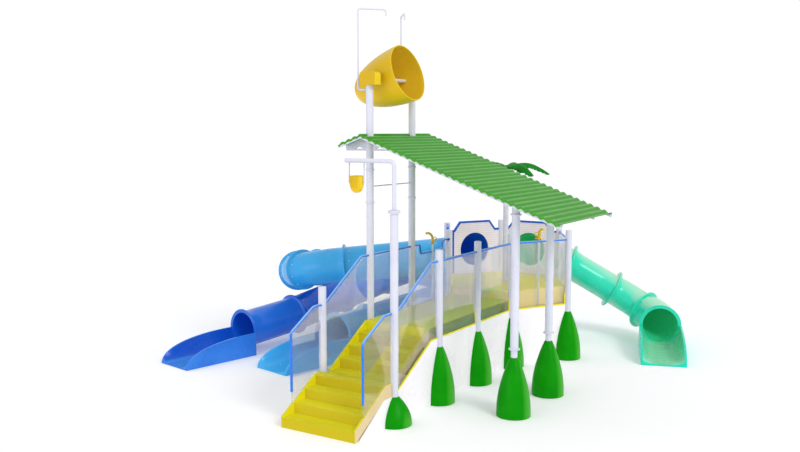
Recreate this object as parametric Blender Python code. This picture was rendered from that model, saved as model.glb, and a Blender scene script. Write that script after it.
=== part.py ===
"""Water slide tower: a stair, two decks, three tube slides, a ribbed roof and two tipping buckets.

Metres, +Z up. The origin is at the foot of post B. +Y runs along the stair towards the decks,
+X points to the roof's long side.
"""

import math

import bmesh
import bpy
from mathutils import Matrix, Vector

for old in list(bpy.data.objects):
    bpy.data.objects.remove(old)

# Driving dimensions of the frame
BAY = 1.5                    # post spacing, also the side of the hexagonal platform
POST_R = 0.07
SEAT = 0.0004                # gap left between two pieces that touch
INSET = POST_R + SEAT        # decks stop this far inside the plane of the posts
POST_TOP = 2.80
START_POST_TOP = 2.21
CONE_R = 0.30
CONE_H = 1.03
DOME_H = 0.48                # the low footings under the landing's posts
TOWER_TOP = 5.77             # top of the two posts that carry the big bucket
ROUND = 12                   # sides of a post, so that a corner faces each neighbour

# Stair and decks
RISER = 0.175
TREAD = 0.295
STAIR_FRONT = -2.65
LANDING_Z = 4 * RISER
LANDING_FRONT = STAIR_FRONT + 3 * TREAD
UPPER_FRONT = -1.145
DECK_Z = 8 * RISER
DECK_FRONT = UPPER_FRONT + 3 * TREAD
DECK_LOW = 1.18
HEX_Z = 9 * RISER
STRINGER = 0.04
STRINGER_TOP = 0.717         # the stringer's level edges beside the landing
STRINGER_LOW = 0.4876
STRINGER_FOOT = 0.19         # its top edge at the bottom step
SHELL = 0.04
TREAD_T = 0.06

# Guards
RAIL_Z = 2.60
RAIL_R = 0.0225
GLASS = 0.012
TRIM = 0.03
BRACKET_TOP = 1.42
RUN_LOW = 0.52               # lower edge of the upper flight's guard at the landing post
RUN_TURN = -0.29             # where that edge becomes level

# Slides
TUBE_R = 0.40
TUBE_WALL = 0.012
FLANGE_R = 0.465
FLANGE_W = 0.045
BORE_Z = 2.14
MOUTH_Z = 0.50
TROUGH_W = 0.94
TROUGH_L = 1.80
TROUGH_WALL = 0.045
TUBE_SIDES = 16

# Roof
RIDGE_X = -1.55
RIDGE_Z = 4.84
ROOF_SLOPE = 0.37
ROOF_LEFT = -2.045
ROOF_RIGHT = 2.40
ROOF_FRONT = -0.26
ROOF_BACK = 2.26
RIB_PITCH = 0.145
RIB_H = 0.035
SHEET = 0.012
RAFTER = 0.048
CHORD_Z = 4.557              # underside of the truss at the ridge

# Tipping buckets
PIVOT = Vector((-1.52, BAY / 2, 5.90))
TILT = math.radians(17.7)    # the big bucket's rim leans this far above level
CUP_R = 0.55
CUP_NOSE = 0.802             # nose to pivot
CUP_RIM = 0.405              # pivot to rim
CUP_WALL = 0.02
AXLE_R = 0.035
AXLE_END = 0.05              # the axle reaches this close to the posts' centres
AXLE_PLAY = 0.0015
SMALL_PIVOT = Vector((-0.75, -BAY, 4.09))
ARM_Z = 4.43
ARM_R = 0.0375
CANNON_PIPE_R = 0.02

# Post feet, in plan
A, B, C, D = [Vector((0.0, y * BAY, 0.0)) for y in (-1, 0, 1, 2)]
L1, P1, P2, P4 = [Vector((-BAY, y * BAY, 0.0)) for y in (-1, 0, 1, 2)]
E, F = Vector((BAY, 0.0, 0.0)), Vector((BAY, BAY, 0.0))
HEX_C = Vector((-BAY / 2, 2 * BAY + BAY * math.sqrt(3) / 2, 0.0))
G, H, I, J = [HEX_C + BAY * Vector((math.cos(math.radians(a)), math.sin(math.radians(a)), 0.0))
              for a in (0, 60, 120, 180)]

PAINTS = {
    "white": ((0.86, 0.87, 0.90), 0.35, 0.0),
    "yellow": ((0.80, 0.68, 0.03), 0.35, 0.0),
    "cone_green": ((0.02, 0.30, 0.01), 0.30, 0.0),
    "roof_green": ((0.12, 0.50, 0.08), 0.40, 0.0),
    "glass": ((0.75, 0.78, 0.86), 0.10, 0.0),
    "sky_blue": ((0.06, 0.36, 0.68), 0.25, 0.0),
    "deep_blue": ((0.01, 0.12, 0.62), 0.25, 0.0),
    "sea_green": ((0.05, 0.70, 0.48), 0.25, 0.0),
    "amber": ((0.72, 0.42, 0.01), 0.30, 0.0),
}


def paint(name):
    """One Principled material for each finish."""
    colour, roughness, metallic = PAINTS[name]
    material = bpy.data.materials.new(name)
    material.use_nodes = True
    shader = material.node_tree.nodes["Principled BSDF"]
    shader.inputs["Base Color"].default_value = (*colour, 1.0)
    shader.inputs["Roughness"].default_value = roughness
    shader.inputs["Metallic"].default_value = metallic
    return material


def place(name, bm, finish, origin=None, smooth=False):
    """Turn a bmesh into a named object, with its origin where a moving piece turns."""
    bmesh.ops.recalc_face_normals(bm, faces=bm.faces)
    mesh = bpy.data.meshes.new(name)
    if origin is not None:
        bmesh.ops.translate(bm, verts=bm.verts, vec=-origin)
    bm.to_mesh(mesh)
    bm.free()
    mesh.materials.append(paint(finish))
    if smooth:
        mesh.shade_smooth()
        mesh.set_sharp_from_angle(angle=math.radians(35))
    piece = bpy.data.objects.new(name, mesh)
    bpy.context.scene.collection.objects.link(piece)
    if origin is not None:
        piece.location = origin
    return piece


def combine(piece, tool, operation):
    """Join another body to a piece, or cut it away, and hide the tool."""
    cut = piece.modifiers.new(tool.name, "BOOLEAN")
    cut.operation = operation
    cut.solver = "EXACT"
    cut.object = tool
    tool.hide_render = True
    tool.display_type = "WIRE"


def tool_name(piece_name, count=[0]):
    """A fresh name for a hidden tool."""
    count[0] += 1
    return f"tool_{piece_name}_{count[0]}"


def skin_rings(bm, rings, loop):
    """Quads between neighbouring rings, and from the last back to the first where loop is set."""
    pairs = list(zip(rings, rings[1:]))
    if loop:
        pairs.append((rings[-1], rings[0]))
    for low, high in pairs:
        n = len(low)
        for k in range(n):
            bm.faces.new((low[k], low[(k + 1) % n], high[(k + 1) % n], high[k]))


def slab(outlines, frame, thick):
    """A flat plate from its edge and any holes. frame is (origin, u, v) and thick is (from, to)."""
    origin, u, v = frame
    w = u.cross(v)
    bm = bmesh.new()
    loops = [[bm.verts.new(origin + a * u + b * v + thick[0] * w) for a, b in line] for line in outlines]
    edges = [bm.edges.new((loop[k], loop[(k + 1) % len(loop)])) for loop in loops for k in range(len(loop))]
    bmesh.ops.triangle_fill(bm, use_beauty=True, edges=edges)
    front = list(bm.faces)
    twin = {vert: bm.verts.new(vert.co + (thick[1] - thick[0]) * w) for loop in loops for vert in loop}
    for face in front:
        bm.faces.new([twin[vert] for vert in reversed(face.verts)])
    for loop in loops:
        for k, vert in enumerate(loop):
            after = loop[(k + 1) % len(loop)]
            bm.faces.new((vert, after, twin[after], twin[vert]))
    return bm


def turned(profile, centre, sides=ROUND, axis=Matrix.Identity(3)):
    """A round body from (radius, height) points. A radius of 0 is a pole on the axis."""
    bm = bmesh.new()
    rings = []
    for radius, height in profile:
        if radius == 0:
            rings.append([bm.verts.new(centre + axis @ Vector((0, 0, height)))])
            continue
        turns = [2 * math.pi * k / sides for k in range(sides)]
        rings.append([bm.verts.new(centre + axis @ Vector((radius * math.cos(t), radius * math.sin(t), height)))
                      for t in turns])
    for low, high in zip(rings, rings[1:]):
        for k in range(sides):
            after = (k + 1) % sides
            if len(low) == 1:
                bm.faces.new((low[0], high[after], high[k]))
            elif len(high) == 1:
                bm.faces.new((low[k], low[after], high[0]))
            else:
                bm.faces.new((low[k], low[after], high[after], high[k]))
    return bm


def bar(points, radius, sides=10):
    """A round bar along straight runs, mitred where they meet."""
    bm = bmesh.new()
    points = [Vector(p) for p in points]
    steps = [(b - a).normalized() for a, b in zip(points, points[1:])]
    side = steps[0].orthogonal().normalized()
    rings = []
    for k, point in enumerate(points):
        before = steps[max(k - 1, 0)]
        after = steps[min(k, len(steps) - 1)]
        plane = (before + after).normalized()
        side = (side - side.dot(before) * before).normalized()
        other = before.cross(side)
        ring = []
        for n in range(sides):
            angle = 2 * math.pi * n / sides
            spoke = radius * (math.cos(angle) * side + math.sin(angle) * other)
            ring.append(bm.verts.new(point + spoke - before * (spoke.dot(plane) / before.dot(plane))))
        side = side - side.dot(after) * after
        rings.append(ring)
    skin_rings(bm, rings, False)
    bm.faces.new(rings[0])
    bm.faces.new(rings[-1])
    return bm


def block(low, high):
    """A square-edged block between two corners."""
    x0, y0, z0 = low
    x1, y1, z1 = high
    frame = (Vector((0, 0, 0)), Vector((1, 0, 0)), Vector((0, 1, 0)))
    return slab([[(x0, y0), (x1, y0), (x1, y1), (x0, y1)]], frame, (z0, z1))


def join(piece, bm):
    """Join one more body, made in world places, to a piece."""
    tool = place(tool_name(piece.name), bm, "white")
    combine(piece, tool, "UNION")


def cut(piece, bm):
    """Cut a body, made in world places, out of a piece."""
    tool = place(tool_name(piece.name), bm, "white")
    combine(piece, tool, "DIFFERENCE")


# Footings: a bell-shaped cone whose radius falls with height
CONE_SHAPE = [(0.0, 1.0), (0.16, 0.985), (0.32, 0.92), (0.50, 0.77), (0.68, 0.55), (0.85, 0.29)]


def footing(height, top_r):
    """Points (radius, height) of a footing, from the ground up to the post."""
    points = [(CONE_R, 0.0)]
    for share, width in CONE_SHAPE[1:]:
        points.append((top_r + (CONE_R - top_r) * width, share * height))
    points.append((top_r, height))
    return points


def post(name, foot, top, cone_h=CONE_H, flanges=()):
    """A footing and its pipe in one body, with flange rings where pipes are bolted together."""
    profile = [(0, 0.0)] + footing(cone_h, POST_R + 0.006)
    profile.append((POST_R, cone_h))
    for level in flanges:
        profile += [(POST_R, level - 0.012), (0.105, level - 0.012), (0.105, level + 0.012), (POST_R, level + 0.012)]
    profile += [(POST_R, top), (0, top)]
    return place(name, turned(profile, foot), "white", smooth=True)


def roof_post(name, foot, top):
    """A roof post: a narrow stub stands on the footing, between it and the pipe's lower flange."""
    stub, low, high = 0.0575, 1.17, 3.50
    profile = [(0, 0.0)] + footing(CONE_H, stub + 0.01)
    profile += [(stub, CONE_H), (stub, low), (0.1, low), (0.1, low + 0.022), (0.072, low + 0.022)]
    profile += [(0.072, high), (0.1, high), (0.1, high + 0.022), (0.072, high + 0.022)]
    profile += [(0.072, top), (0, top)]
    place(name, turned(profile, foot), "white", smooth=True)


def roof_z(x):
    """Height of the roof sheet's valleys above a place across the roof."""
    return RIDGE_Z - ROOF_SLOPE * abs(x - RIDGE_X)


def build_posts():
    for name, foot in (("b", B), ("c", C), ("d", D), ("p4", P4), ("g", G), ("h", H), ("i", I), ("j", J)):
        post("post_" + name, foot, POST_TOP)
    post("post_landing_left", L1, START_POST_TOP, DOME_H)
    post("post_landing_right", A, 3.60, DOME_H, (3.588,))
    roof_top = roof_z(BAY + 0.072) - SHEET - RAFTER - 2 * SEAT
    roof_post("post_roof_front", E, roof_top)
    roof_post("post_roof_back", F, roof_top)
    for name, foot, lean in (("post_tower_front", P1, 1), ("post_tower_back", P2, -1)):
        tower = post(name, foot, TOWER_TOP, CONE_H, (3.59, 4.205))
        x, y, z = foot.x, foot.y, 5.69
        spout = [(x, y, z), (x - 0.22, y, z), (x - 0.26, y, z + 0.04), (x - 0.26, y, 7.14),
                 (x - 0.235, y + lean * 0.03, 7.18), (x + 0.06, y + lean * 0.39, 7.18),
                 (x + 0.085, y + lean * 0.42, 7.14), (x + 0.085, y + lean * 0.42, 7.06)]
        join(tower, bar(spout, 0.019, 8))


def edge_along_cone(height, top, sign):
    """The edge of a skirt panel beside a footing, from the ground up: (distance from the post, height)."""
    points = [(radius + SEAT, z) for radius, z in footing(height, POST_R + 0.006)]
    points.append((POST_R + 2 * SEAT, height + 0.01))
    points.append((POST_R + 2 * SEAT, top))
    return [(sign * a, z) for a, z in points]


def run_low(y):
    """Lower edge of the upper flight's guard, by the place along the stair."""
    start = -BAY + POST_R
    share = min(max((y - start) / (RUN_TURN - start), 0.0), 1.0)
    return RUN_LOW + share * (DECK_LOW - RUN_LOW)


def skirt_panels():
    """The skirt panels in one side plane of the stair and deck, as outlines (y, z)."""
    top = DECK_LOW - SEAT
    foot = [(LANDING_FRONT - 0.78, 0.0)]
    under = STRINGER_LOW - SEAT
    slope_top = [(LANDING_FRONT - 0.051, under), (A.y - POST_R - 2 * SEAT, under)]
    dome_left = [(A.y + a, z) for a, z in reversed(edge_along_cone(DOME_H, DOME_H + 0.005, -1)[:-2])]
    panels = [foot + slope_top + dome_left]
    dome_right = [(A.y + a, z) for a, z in edge_along_cone(DOME_H, RUN_LOW - SEAT, 1)]
    cone_left = [(B.y + a, z) for a, z in reversed(edge_along_cone(CONE_H, top, -1))]
    panels.append(dome_right + [(RUN_TURN, top)] + cone_left)
    for k in (0, 1):
        left = [(k * BAY + a, z) for a, z in edge_along_cone(CONE_H, top, 1)]
        right = [((k + 1) * BAY + a, z) for a, z in reversed(edge_along_cone(CONE_H, top, -1))]
        panels.append(left + right)
    return panels


def build_side_skirts():
    """Each side's panels are carried by a comb-shaped sill frame that runs inside the footings."""
    for name, x, inward in (("skirt_right", 0.0, -1), ("skirt_left", -BAY, 1)):
        sill_far, sill_near, tooth = inward * 0.37, inward * 0.325, 0.03
        comb = [(sill_far, -2.28), (sill_far, 2.42), (sill_near, 2.42)]
        for y in (2.25, 0.75, -0.75, -2.15):
            comb += [(sill_near, y + tooth), (0.0, y + tooth), (0.0, y - tooth), (sill_near, y - tooth)]
        comb.append((sill_near, -2.28))
        frame = (Vector((x, 0, 0)), Vector((1, 0, 0)), Vector((0, 1, 0)))
        skirt = place(name, slab([comb], frame, (0.03, 0.09)), "white")
        side = (Vector((x, 0, 0)), Vector((0, 1, 0)), Vector((0, 0, 1)))
        for outline in skirt_panels():
            join(skirt, slab([outline], side, (-0.01, 0.01)))


def side_frame(start, end):
    """Frame of a vertical plane through two posts: s runs from one to the other, z is up."""
    along = (end - start).normalized()
    return (start, along, Vector((0, 0, 1)))


def build_hex_skirts():
    for name, start, end in (("dg", D, G), ("gh", G, H), ("hi", H, I), ("ij", I, J), ("jp4", J, P4)):
        top = DECK_LOW - SEAT
        left = edge_along_cone(CONE_H, top, 1)
        right = [(BAY + a, z) for a, z in reversed(edge_along_cone(CONE_H, top, -1))]
        place("skirt_" + name, slab([left + right], side_frame(start, end), (-0.01, 0.01)), "white")


def build_lower_flight():
    """Four risers and the landing between two full-width stringers."""
    side = (Vector((0, 0, 0)), Vector((0, 1, 0)), Vector((0, 0, 1)))
    end = A.y - POST_R - 0.01
    steps = []
    for k in range(4):
        y = STAIR_FRONT + k * TREAD
        steps += [(y, k * RISER), (y, (k + 1) * RISER)]
    back = LANDING_FRONT + 0.03
    low = LANDING_Z - TREAD_T
    steps += [(end, LANDING_Z), (end, low), (back, low), (back, 0.483), (STAIR_FRONT + 0.102, 0.0)]
    flight = place("lower_flight", slab([steps], side, (-BAY + 0.03, -0.03)), "yellow")
    front = STAIR_FRONT - 0.004
    band = [(front, 0.0), (front, STRINGER_FOOT), (LANDING_FRONT, STRINGER_TOP), (end - 0.001, STRINGER_TOP),
            (end - 0.001, STRINGER_LOW), (LANDING_FRONT - 0.051, STRINGER_LOW), (STAIR_FRONT + 0.03, 0.001)]
    join(flight, slab([band], side, (-STRINGER, 0.0)))
    join(flight, slab([band], side, (-BAY, -BAY + STRINGER)))
    x0, x1 = -BAY + INSET, -INSET
    join(flight, block((x0, end - 0.03, LANDING_Z - 0.058), (x1, A.y + POST_R, LANDING_Z - 0.002)))


def build_upper_flight():
    """The landing's far part and four risers up to the deck, between the posts."""
    side = (Vector((0, 0, 0)), Vector((0, 1, 0)), Vector((0, 0, 1)))
    start = A.y + POST_R + SEAT
    end = DECK_FRONT - SEAT
    pitch = RISER / TREAD
    steps = [(start, LANDING_Z)]
    for k in range(3):
        y = UPPER_FRONT + k * TREAD
        steps += [(y, LANDING_Z + k * RISER), (y, LANDING_Z + (k + 1) * RISER)]
    low = LANDING_Z - TREAD_T
    steps += [(end, LANDING_Z + 3 * RISER), (end, low + pitch * (end - UPPER_FRONT)), (UPPER_FRONT, low), (start, low)]
    flight = place("upper_flight", slab([steps], side, (-BAY + INSET + 0.03, -INSET - 0.03)), "yellow")
    band = [(start + 0.001, STRINGER_TOP), (DECK_FRONT - 0.02, DECK_Z + 0.006), (end - 0.001, DECK_Z + 0.006),
            (end - 0.001, DECK_LOW), (RUN_TURN, DECK_LOW), (start + 0.001, RUN_LOW + 0.001)]
    join(flight, slab([band], side, (-INSET - STRINGER, -INSET)))
    join(flight, slab([band], side, (-BAY + INSET, -BAY + INSET + STRINGER)))


def tray(name, outline, low, high, finish):
    """An upturned tray: a floor with a fascia all round, open underneath."""
    bm = bmesh.new()
    n = len(outline)
    corners = [Vector((x, y, 0)) for x, y in outline]
    inner = []
    for k, corner in enumerate(corners):
        into = (corner - corners[k - 1]).normalized()
        out = (corners[(k + 1) % n] - corner).normalized()
        left_a, left_b = Vector((-into.y, into.x, 0)), Vector((-out.y, out.x, 0))
        inner.append(corner + (left_a + left_b) * (SHELL / (1 + left_a.dot(left_b))))
    up = Vector((0, 0, 1))
    outer_low = [bm.verts.new(p + low * up) for p in corners]
    outer_high = [bm.verts.new(p + high * up) for p in corners]
    inner_low = [bm.verts.new(p + low * up) for p in inner]
    inner_high = [bm.verts.new(p + (high - SHELL) * up) for p in inner]
    skin_rings(bm, [inner_high, inner_low, outer_low, outer_high], False)
    bm.faces.new(outer_high)
    bm.faces.new(inner_high)
    return place(name, bm, finish)


def build_decks():
    x0, x1 = -BAY + INSET, -INSET
    y0, y1 = DECK_FRONT, D.y - SEAT / 2
    tray("main_deck", [(x0, y0), (x1, y0), (x1, y1), (x0, y1)], DECK_LOW, DECK_Z, "yellow")
    corners = [HEX_C + (BAY - INSET / math.cos(math.radians(30))) * Vector((math.cos(t), math.sin(t), 0))
               for t in (math.radians(a) for a in (0, 60, 120, 180))]
    reach = INSET / math.cos(math.radians(30))
    front_y = D.y + SEAT / 2
    front = [(-BAY + reach + 0.0002, front_y), (-reach - 0.0002, front_y)]
    tray("hex_deck", front + [(p.x, p.y) for p in corners], DECK_LOW, HEX_Z, "yellow")


def guard(name, start, end, low_line, rail, glass):
    """A guard between two posts: clear sheet, yellow channel under it and blue rail over it, one body."""
    frame = side_frame(start, end)
    origin, u, v = frame
    lower = [(s, z) for s, z in low_line]
    channel = lower + [(s, z + TRIM) for s, z in reversed(low_line)]
    if len(low_line) == 2:
        s0, s1 = low_line[0][0], low_line[1][0]
        z0 = low_line[0][1]
        channel = [(s0, z0), (s1, z0), (s1, BRACKET_TOP), (s1 - TRIM, BRACKET_TOP), (s1 - TRIM, z0 + TRIM),
                   (s0 + TRIM, z0 + TRIM), (s0 + TRIM, BRACKET_TOP), (s0, BRACKET_TOP)]
    piece = place(name, slab([glass], frame, (-GLASS / 2, GLASS / 2)), "glass")
    join(piece, slab([channel], frame, (-0.015, 0.015)))
    join(piece, bar([origin + s * u + z * v for s, z in rail], RAIL_R, 8))
    return piece


def level_guard(name, start, end, notch=False):
    """A guard with a level rail. A notch lowers the rail where the water cannon is aimed over it."""
    s0, s1 = POST_R + SEAT, BAY - POST_R - SEAT
    rail = [(s0, RAIL_Z), (s1, RAIL_Z)]
    top = [(s1 - 0.015, RAIL_Z), (s0 + 0.015, RAIL_Z)]
    if notch:
        low = 2.41
        rail = [(s0, RAIL_Z), (0.30, RAIL_Z), (0.35, low), (1.22, low), (1.27, RAIL_Z), (s1, RAIL_Z)]
        top = [(s1 - 0.015, RAIL_Z), (1.27, RAIL_Z), (1.22, low), (0.35, low), (0.30, RAIL_Z), (s0 + 0.015, RAIL_Z)]
    glass = [(s0 + 0.015, DECK_LOW + 0.01), (s1 - 0.015, DECK_LOW + 0.01)] + top
    guard(name, start, end, [(s0, DECK_LOW), (s1, DECK_LOW)], rail, glass)


def build_guards():
    for side, x in (("right", 0.0), ("left", -BAY)):
        near, far = Vector((x, 0, 0)), Vector((x, 1, 0))
        frame = side_frame(near, far)
        start = STAIR_FRONT + 0.25
        end = A.y - POST_R - SEAT
        bend, high = -1.78, 1.90
        rail = [(start, 0.55), (start, 1.56), (bend, high), (end, high)]
        pitch = (STRINGER_TOP - STRINGER_FOOT) / (LANDING_FRONT - STAIR_FRONT)
        base = STRINGER_FOOT + pitch * (start - STAIR_FRONT) + 0.004
        level = STRINGER_TOP + SEAT
        glass = [(start, base), (LANDING_FRONT, level), (end - 0.015, level), (end - 0.015, high),
                 (bend, high), (start, 1.56)]
        piece = place(f"guard_lower_{side}", slab([glass], frame, (-0.026, -0.014)), "glass")
        if side == "left":
            for vert in piece.data.vertices:
                vert.co.x += 0.04
        shift = -0.02 if side == "right" else 0.02
        join(piece, bar([Vector((x + shift, y, z)) for y, z in rail], RAIL_R, 8))
        s0, s1 = A.y + POST_R + SEAT, B.y - POST_R - SEAT
        low_line = [(s0, run_low(s0)), (RUN_TURN, DECK_LOW), (s1, DECK_LOW)]
        rail = [(s0, 1.915), (s0 + 0.03, 1.915), (-0.30, RAIL_Z), (s1, RAIL_Z)]
        glass = [(s0 + 0.015, run_low(s0 + 0.015) + 0.01), (RUN_TURN, DECK_LOW + 0.01), (s1 - 0.015, DECK_LOW + 0.01),
                 (s1 - 0.015, RAIL_Z), (-0.30, RAIL_Z), (s0 + 0.015, 1.924)]
        guard(f"guard_upper_{side}", near, far, low_line, rail, glass)
    level_guard("guard_deck_right_1", B, C)
    level_guard("guard_deck_right_2", C, D)
    level_guard("guard_deck_left_1", P1, P2)
    level_guard("guard_deck_left_2", P2, P4, notch=True)
    level_guard("guard_hex_front", D, G)
    level_guard("guard_hex_side", G, H)


def build_entries():
    """Solid panels with a round hole and cut-off upper corners, one at the head of each slide."""
    s0, s1 = POST_R + SEAT, BAY - POST_R - SEAT
    shoulder, top, step, corner = 2.59, 2.79, 0.20, 0.30
    outline = [(s0, DECK_LOW + SEAT), (s1, DECK_LOW + SEAT), (s1, shoulder), (BAY - step, shoulder),
               (BAY - corner, top), (corner, top), (step, shoulder), (s0, shoulder)]
    bore = TUBE_R - TUBE_WALL
    turns = [2 * math.pi * (k + 0.5) / 20 for k in range(20)]
    hole = [(BAY / 2 + bore * math.cos(t), BORE_Z + bore * math.sin(t)) for t in turns]
    for name, start, end in (("entry_panel_green", H, I), ("entry_panel_deep", I, J), ("entry_panel_sky", J, P4)):
        place(name, slab([outline, hole], side_frame(start, end), (-0.015, 0.015)), "white")


# Each slide: the posts beside its head and its finish, then its runs (length, 0) and its bends
# (turn in degrees, radius), each with its fall in metres per metre and whether a flange ends it
ROUTES = {
    "sky": (J, P4, "sky_blue", [
        ("run", 2.29, 0, 0.10, 1), ("run", 0.40, 0, 0.10, 0), ("bend", -49, 0.8, 0.18, 1), ("bend", -36, 0.8, 0.18, 1),
        ("run", 0.50, 0, 0.10, 0), ("bend", -40, 1.6, 0.10, 1), ("run", 1.70, 0, 0.10, 1),
        ("bend", -62, 1.45, 0.11, 0), ("bend", -62, 1.45, 0.11, 1), ("bend", -62.5, 1.45, 0.11, 1),
        ("run", 2.69, 0, 0.0815, 1), ("run", 0.962, 0, 0.0815, 0)]),
    "deep": (I, J, "deep_blue", [
        ("run", 1.90, 0, 0.30, 1), ("bend", 109.2, 0.8, 0.27, 1), ("run", 1.50, 0, 0.17, 1), ("run", 1.55, 0, 0.17, 1),
        ("run", 1.48, 0, 0.094, 0)]),
    "green": (H, I, "sea_green", [
        ("run", 0.05, 0, 0.25, 0), ("bend", -65.25, 1.035, 0.34, 1), ("run", 1.04, 0, 0.588, 1),
        ("bend", -45.12, 1.018, 0.539, 1), ("bend", -50.63, 0.955, 0.204, 0), ("run", 0.10, 0, 0.123, 0)]),
}
BEND_STEP = 18               # degrees between two rings of a bend


def route(start, end, legs):
    """Stations (point, heading, fall, flange) along a slide's centre line, from its entry panel."""
    along = (end - start).normalized()
    out = Vector((-along.y, along.x, 0)) * (-1 if (start + along - HEX_C).cross(along).z > 0 else 1)
    point = (start + end) / 2 + out * (0.015 + SEAT)
    point.z = BORE_Z
    heading = math.atan2(out.y, out.x)
    stations = [(point.copy(), heading, legs[0][3], "start")]
    for number, (kind, amount, radius, fall, flange) in enumerate(legs):
        steps = 1 if kind == "run" else max(1, round(abs(amount) / BEND_STEP))
        for k in range(steps):
            if kind == "run":
                length = amount
                chord = amount
                turn = 0.0
            else:
                turn = math.radians(amount) / steps
                length = radius * abs(turn)
                chord = 2 * radius * math.sin(abs(turn) / 2)
            middle = heading + turn / 2
            point = point + Vector((chord * math.cos(middle), chord * math.sin(middle), -fall * length))
            heading += turn
            last = k == steps - 1
            slope = (fall + legs[number + 1][3]) / 2 if last and number < len(legs) - 1 else fall
            mark = "none"
            if last and number == len(legs) - 1:
                mark = "end"
            elif last and flange:
                mark = "joint"
            stations.append((point.copy(), heading, slope, mark))
    return stations


def ring(bm, station, radius, shift):
    """A ring of a tube, moved along it by shift. It stands upright, and at a joint it leans with the fall."""
    point, heading, fall, mark = station
    ahead = Vector((math.cos(heading), math.sin(heading), 0))
    side = Vector((-math.sin(heading), math.cos(heading), 0))
    up = Vector((0, 0, 1))
    if mark == "joint":
        lean = math.sqrt(1 + fall * fall)
        ahead, up = (ahead - fall * up) / lean, (up + fall * ahead) / lean
        if radius < FLANGE_R:
            up /= lean
    centre = point + shift * ahead
    turns = [2 * math.pi * k / TUBE_SIDES for k in range(TUBE_SIDES)]
    return [bm.verts.new(centre + radius * (math.cos(t) * side + math.sin(t) * up)) for t in turns]


def tube(name, stations, finish):
    """A tube slide: outer skin with its flanges, and inner skin back to the start."""
    bm = bmesh.new()
    outer = []
    half = FLANGE_W / 2
    for station in stations:
        mark = station[3]
        levels = {"none": [(TUBE_R, 0)],
                  "start": [(FLANGE_R, 0), (FLANGE_R, half), (TUBE_R, half)],
                  "joint": [(TUBE_R, -half), (FLANGE_R, -half), (FLANGE_R, half), (TUBE_R, half)],
                  "end": [(TUBE_R, -half), (FLANGE_R, -half), (FLANGE_R, 0)]}[mark]
        outer += [ring(bm, station, radius, shift) for radius, shift in levels]
    inner = [ring(bm, station, TUBE_R - TUBE_WALL, 0) for station in reversed(stations)]
    skin_rings(bm, outer + inner, True)
    place(name, bm, finish, smooth=True)


def trough(name, station, finish):
    """The run-out: a floor that sinks to the ground between two walls whose tops curve down."""
    point, heading, fall, mark = station
    ahead = Vector((math.cos(heading), math.sin(heading), 0))
    side = Vector((-math.sin(heading), math.cos(heading), 0))
    half = TROUGH_W / 2
    inside = half - TROUGH_WALL
    bm = bmesh.new()
    rings = []
    count = 10
    for k in range(count + 1):
        share = math.sin(math.pi / 2 * k / count)
        t = SEAT + TROUGH_L * share
        floor = 0.105 - 0.075 * share
        wall = max(MOUTH_Z * (1 - share ** 2.3) ** (1 / 2.3), floor + 0.006)
        section = [(-half, 0), (-half, wall), (-inside, wall), (-inside, floor), (inside, floor), (inside, wall),
                   (half, wall), (half, 0)]
        base = Vector((point.x, point.y, 0)) + t * ahead
        rings.append([bm.verts.new(base + a * side + Vector((0, 0, z))) for a, z in section])
    skin_rings(bm, rings, False)
    bm.faces.new(rings[0])
    bm.faces.new(rings[-1])
    place(name, bm, finish)


def build_slides():
    for name, (start, end, finish, legs) in ROUTES.items():
        stations = route(start, end, legs)
        tube(f"slide_{name}", stations, finish)
        trough(f"runout_{name}", stations[-1], finish)


def build_roof():
    """Ribbed sheet over both slopes, with holes for the two tower posts."""
    half_ribs = [(0.0, 0.0), (0.30, 0.0), (0.42, RIB_H), (0.88, RIB_H)]
    run = RIB_PITCH / math.sqrt(1 + ROOF_SLOPE ** 2)
    line = []
    x = ROOF_LEFT
    while x < ROOF_RIGHT - 0.01:
        for share, rise in half_ribs:
            at = x + share * run
            if at < ROOF_RIGHT:
                line.append((at, roof_z(at) + rise))
        x += run
    line.append((ROOF_RIGHT, roof_z(ROOF_RIGHT)))
    outline = line + [(a, z - SHEET) for a, z in reversed(line)]
    bm = bmesh.new()
    rows = [[bm.verts.new(Vector((a, y, z))) for a, z in outline] for y in (ROOF_FRONT, ROOF_BACK)]
    skin_rings(bm, rows, False)
    n = len(line)
    for row in rows:
        for k in range(n - 1):
            bm.faces.new((row[k], row[k + 1], row[2 * n - 2 - k], row[2 * n - 1 - k]))
    sheet = place("roof_sheet", bm, "roof_green")
    for foot in (P1, P2):
        column = [(0, 4.3), (POST_R + 0.001, 4.3), (POST_R + 0.001, 5.2), (0, 5.2)]
        cut(sheet, turned(column, foot))


def build_frames():
    """White rafters with a small truss at the ridge. A collar in each passes round the tower post."""
    gap = SHEET + SEAT
    half = 0.02
    for name, foot in (("roof_frame_front", P1), ("roof_frame_back", P2)):
        left, right = ROOF_LEFT + 0.004, ROOF_RIGHT - 0.06
        meet = RIDGE_X + (RIDGE_Z - gap - RAFTER - CHORD_Z) / ROOF_SLOPE
        line = [(left, roof_z(left) - gap), (RIDGE_X, RIDGE_Z - gap), (right, roof_z(right) - gap),
                (right, roof_z(right) - gap - RAFTER), (meet, CHORD_Z), (left + 0.015, CHORD_Z)]
        openings = []
        for sign in (-1, 1):
            near, apex, far = -BAY + sign * 0.14, -BAY + sign * 0.235, -BAY + sign * 0.33
            openings.append([(near, CHORD_Z + 0.035), (apex, CHORD_Z + 0.08), (far, CHORD_Z + 0.035)])
        frame = (Vector((0, foot.y, 0)), Vector((1, 0, 0)), Vector((0, 0, 1)))
        truss = place(name, slab([line] + openings, frame, (-half, half)), "white")
        collar, low, high = 0.09, CHORD_Z - 0.002, CHORD_Z + 0.18
        join(truss, turned([(0, low), (collar, low), (collar, high), (0, high)], foot))
        bore = POST_R + SEAT
        cut(truss, turned([(0, low - 0.2), (bore, low - 0.2), (bore, high + 0.3), (0, high + 0.3)], foot))


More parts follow.
